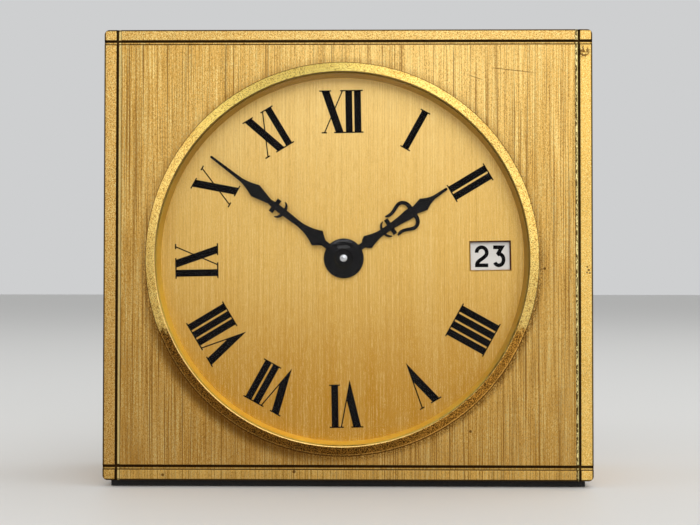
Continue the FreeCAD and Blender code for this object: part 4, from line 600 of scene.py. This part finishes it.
def dress_nodes():
    """Gives each CAD node the material of its slot in the record."""
    for entry in frame["record"]["subparts"]:
        node = frame["nodes"][entry["node"]]
        node.data.materials.clear()
        node.data.materials.append(materials[entry["material_slot"]])


dress_nodes()


# ---------------------------------------------------------------- the numbers on the date ring
# In mm, unless a comment says otherwise.
STROKE = 0.74                # width of a digit's strokes
DIGIT_WIDTH = 2.76
DIGIT_HEIGHT = 4.33
DIGIT_GAP = 0.78
DATES = 31                   # how many numbers
SHOWN_DATE = 23              # the number in the dial's window at rest
DATE_RADIUS = 29.15
DATE_ANGLE = 89.1            # clock angle of the window, degrees
RING_FRONT_Y = -12.4         # the date ring's front face
INK = 0.03                   # how far the ink stands out of that face
INK_ROOT = 0.005             # how far it reaches into it
W = DIGIT_WIDTH - STROKE     # the box that holds a digit's centre lines
H = DIGIT_HEIGHT - STROKE


def arc(cx, cy, rx, ry, start, end, steps=20):
    """Points of an arc, angles in degrees counter-clockwise from the right."""
    points = []
    for i in range(steps + 1):
        a = math.radians(start + (end - start) * i / steps)
        points.append((cx + rx * math.cos(a), cy + ry * math.sin(a)))
    return points


def half_turned(strokes):
    """The strokes of a digit turned upside down, as a 9 is a turned 6."""
    return [[(W - x, H - y) for x, y in stroke] for stroke in strokes]


# Each digit is a list of strokes, and each stroke is the points of its centre line.
SIX =[arc(W / 2, 1.12, W / 2, 1.12, 0, 360, 32),
       arc(W * 0.98, 1.25, W * 0.98, 2.48, 180, 97, 14)]
DIGITS = {
    "0": [arc(W / 2, H / 2, W / 2, H / 2, 0, 360, 36)],
    "1": [[(1.35, 0), (1.35, H)], [(1.45, H), (0.45, H - 0.62)]],
    "2": [arc(W / 2, H - 1.05, W / 2, 1.05, 182, -32, 20)
          + [(1.35, 1.5), (0.62, 0.98), (0.2, 0.55), (0.02, 0.0)],
          [(-0.3, 0), (W + 0.3, 0)]],
    "3": [[(-0.25, H), (W - 0.55, H), (0.66, 2.2)],
          [(0.56, 2.05)] + arc(W / 2 - 0.12, 1.14, W / 2 - 0.08, 1.14, 92, -150, 22)],
    "4": [[(1.5, 0), (1.5, H), (0.0, 0.95), (W + 0.3, 0.95)]],
    "5": [[(W, H), (0.3, H), (0.16, 2.05)],
          [(0.05, 1.9)] + arc(W / 2, 1.2, W / 2, 1.2, 128, -150, 22)],
    "6": SIX,
    "7": [[(-0.3, H), (W - 0.2, H), (0.85, 0)]],
    "8": [arc(W / 2, 1.04, W / 2, 1.04, 0, 360, 32),
          arc(W / 2, H - 0.84, W / 2 * 0.86, 0.84, 0, 360, 28)],
    "9": half_turned(SIX),
}


def ribbon(points, width):
    """The two edges of a stroke of even width along a line of points."""
    closed = math.dist(points[0], points[-1]) < 1e-6
    if closed:
        points = points[:-1]
    count = len(points)
    left, right = [], []
    for i, (x, y) in enumerate(points):
        before = points[i - 1] if (closed or i > 0) else None
        after = points[(i + 1) % count] if (closed or i < count - 1) else None
        directions = []
        if before is not None:
            directions.append(Vector((x - before[0], y - before[1])).normalized())
        if after is not None:
            directions.append(Vector((after[0] - x, after[1] - y)).normalized())
        along = sum(directions, Vector((0, 0))).normalized()
        spread = 1.0
        if len(directions) == 2:
            spread = 1.0 / max(0.35, along.dot(directions[0]))
        side = Vector((-along.y, along.x)) * (width / 2 * spread)
        left.append((x + side.x, y + side.y))
        right.append((x - side.x, y - side.y))
    return left, right, closed


def make_dates():
    """All the printed numbers as thin raised ink, read outwards from the ring's centre."""
    vertices, faces = [], []
    for number in range(1, DATES + 1):
        text = str(number)
        total = len(text) * DIGIT_WIDTH + (len(text) - 1) * DIGIT_GAP
        clock = math.radians(DATE_ANGLE + (number - SHOWN_DATE) * 360.0 / DATES)
        lean = clock + math.radians(90.0 - DATE_ANGLE)
        across = Vector((math.sin(lean), math.cos(lean)))
        upward = Vector((-across.y, across.x))
        middle = Vector((DIAL_CENTRE[0] + DATE_RADIUS * math.sin(clock),
                         DIAL_CENTRE[1] + DATE_RADIUS * math.cos(clock)))
        for place, digit in enumerate(text):
            x0 = -total / 2 + place * (DIGIT_WIDTH + DIGIT_GAP) + STROKE / 2
            y0 = -DIGIT_HEIGHT / 2 + STROKE / 2
            for stroke in DIGITS[digit]:
                left, right, closed = ribbon(stroke, STROKE)
                count = len(left)
                first = len(vertices)
                for depth in (RING_FRONT_Y - INK, RING_FRONT_Y + INK_ROOT):
                    for edge in (left, right):
                        for x, y in edge:
                            p = middle + across * (x0 + x) + upward * (y0 + y)
                            vertices.append((p.x * MM, depth * MM, p.y * MM))
                pairs = count if closed else count - 1
                for i in range(pairs):
                    j = (i + 1) % count
                    a, b = first + i, first + j
                    c, d = a + count, b + count
                    e, f, g, h = (k + 2 * count for k in (a, b, c, d))
                    faces.append((a, b, d, c))
                    faces.append((a, e, f, b))
                    faces.append((c, d, h, g))
                    faces.append((e, g, h, f))
                if not closed:
                    for i in (0, count - 1):
                        a, c = first + i, first + i + count
                        faces.append((a, c, c + 2 * count, a + 2 * count))
    mesh = bpy.data.meshes.new("date_numbers")
    mesh.from_pydata(vertices, [], faces)
    mesh.validate()
    numbers = bpy.data.objects.new("date_numbers", mesh)
    bpy.context.scene.collection.objects.link(numbers)
    bpy.context.view_layer.objects.active = numbers
    numbers.select_set(True)
    bpy.ops.object.mode_set(mode="EDIT")
    bpy.ops.mesh.select_all(action="SELECT")
    bpy.ops.mesh.normals_make_consistent(inside=False)
    bpy.ops.object.mode_set(mode="OBJECT")
    numbers.data.materials.append(materials["numeral_paint"])
    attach(numbers, "date_ring_body")


make_dates()


# ---------------------------------------------------------------- floor and light
# In metres and watts, as Blender takes them.
FLOOR_REACH = 6.0         # from the middle to an edge
FLOOR_DROP = 0.0001       # keeps the floor clear of the pad's underside
SOFT_LIGHT = 0.58         # strength of the even light from all round
BACKDROP = srgb(206, 207, 208)
FACE = (0.0, -0.017, 0.045)
# Each lamp: name, place, width, height, power and colour. All are aimed at the face.
LAMPS = (
    ("key", (0.22, -1.05, 0.55), 0.8, 0.6, 2.6, (1.0, 0.99, 0.97)),
    ("left", (-0.85, -0.15, 0.56), 0.8, 0.8, 1.7, (1.0, 1.0, 1.0)),
    ("right", (0.95, -0.25, 0.40), 0.6, 0.7, 1.5, (1.0, 1.0, 1.0)),
    ("above", (0.42, -0.05, 0.95), 1.0, 0.7, 3.1, (1.0, 1.0, 1.0)),
    ("brow", (-0.08, -0.72, 0.88), 0.9, 0.25, 1.5, (1.0, 1.0, 1.0)),
)


def make_floor():
    """A pale tabletop, only there for the picture."""
    mesh = bpy.data.meshes.new("floor")
    corners = [(-1, -1), (1, -1), (1, 1), (-1, 1)]
    mesh.from_pydata([(x * FLOOR_REACH, y * FLOOR_REACH, 0) for x, y in corners],
                     [], [(0, 1, 2, 3)])
    floor = bpy.data.objects.new("floor", mesh)
    bpy.context.scene.collection.objects.link(floor)
    floor.location.z = -FLOOR_DROP
    g = Graph("floor_pale")
    g.set(Base_Color=srgb(214, 214, 212), Metallic=0.0, Roughness=0.6)
    floor.data.materials.append(g.material)


def make_lamp(name, place, width, height, power, colour):
    """A rectangular lamp aimed at the middle of the face."""
    data = bpy.data.lights.new(name, "AREA")
    data.shape = "RECTANGLE"
    data.size = width
    data.size_y = height
    data.energy = power
    data.color = colour
    lamp = bpy.data.objects.new(name, data)
    bpy.context.scene.collection.objects.link(lamp)
    lamp.location = place
    lamp.rotation_mode = "QUATERNION"
    lamp.rotation_quaternion = (Vector(FACE) - Vector(place)).to_track_quat("-Z", "Y")


def make_world():
    """Even light from all round. The camera, mirrors and glass see a pale grey instead."""
    world = bpy.data.worlds.new("studio")
    bpy.context.scene.world = world
    world.use_nodes = True
    tree = world.node_tree
    tree.nodes.clear()
    output = tree.nodes.new("ShaderNodeOutputWorld")
    soft = tree.nodes.new("ShaderNodeBackground")
    soft.inputs[0].default_value = (1.0, 1.0, 1.0, 1.0)
    soft.inputs[1].default_value = SOFT_LIGHT
    seen = tree.nodes.new("ShaderNodeBackground")
    seen.inputs[0].default_value = BACKDROP
    seen.inputs[1].default_value = 1.0
    path = tree.nodes.new("ShaderNodeLightPath")
    shown = path.outputs["Is Camera Ray"]
    for kind in ("Is Glossy Ray", "Is Transmission Ray"):
        either_ray = tree.nodes.new("ShaderNodeMath")
        either_ray.operation = "MAXIMUM"
        tree.links.new(shown, either_ray.inputs[0])
        tree.links.new(path.outputs[kind], either_ray.inputs[1])
        shown = either_ray.outputs[0]
    either = tree.nodes.new("ShaderNodeMixShader")
    tree.links.new(shown, either.inputs[0])
    tree.links.new(soft.outputs[0], either.inputs[1])
    tree.links.new(seen.outputs[0], either.inputs[2])
    tree.links.new(either.outputs[0], output.inputs[0])


make_floor()
make_world()
for lamp_row in LAMPS:
    make_lamp(*lamp_row)
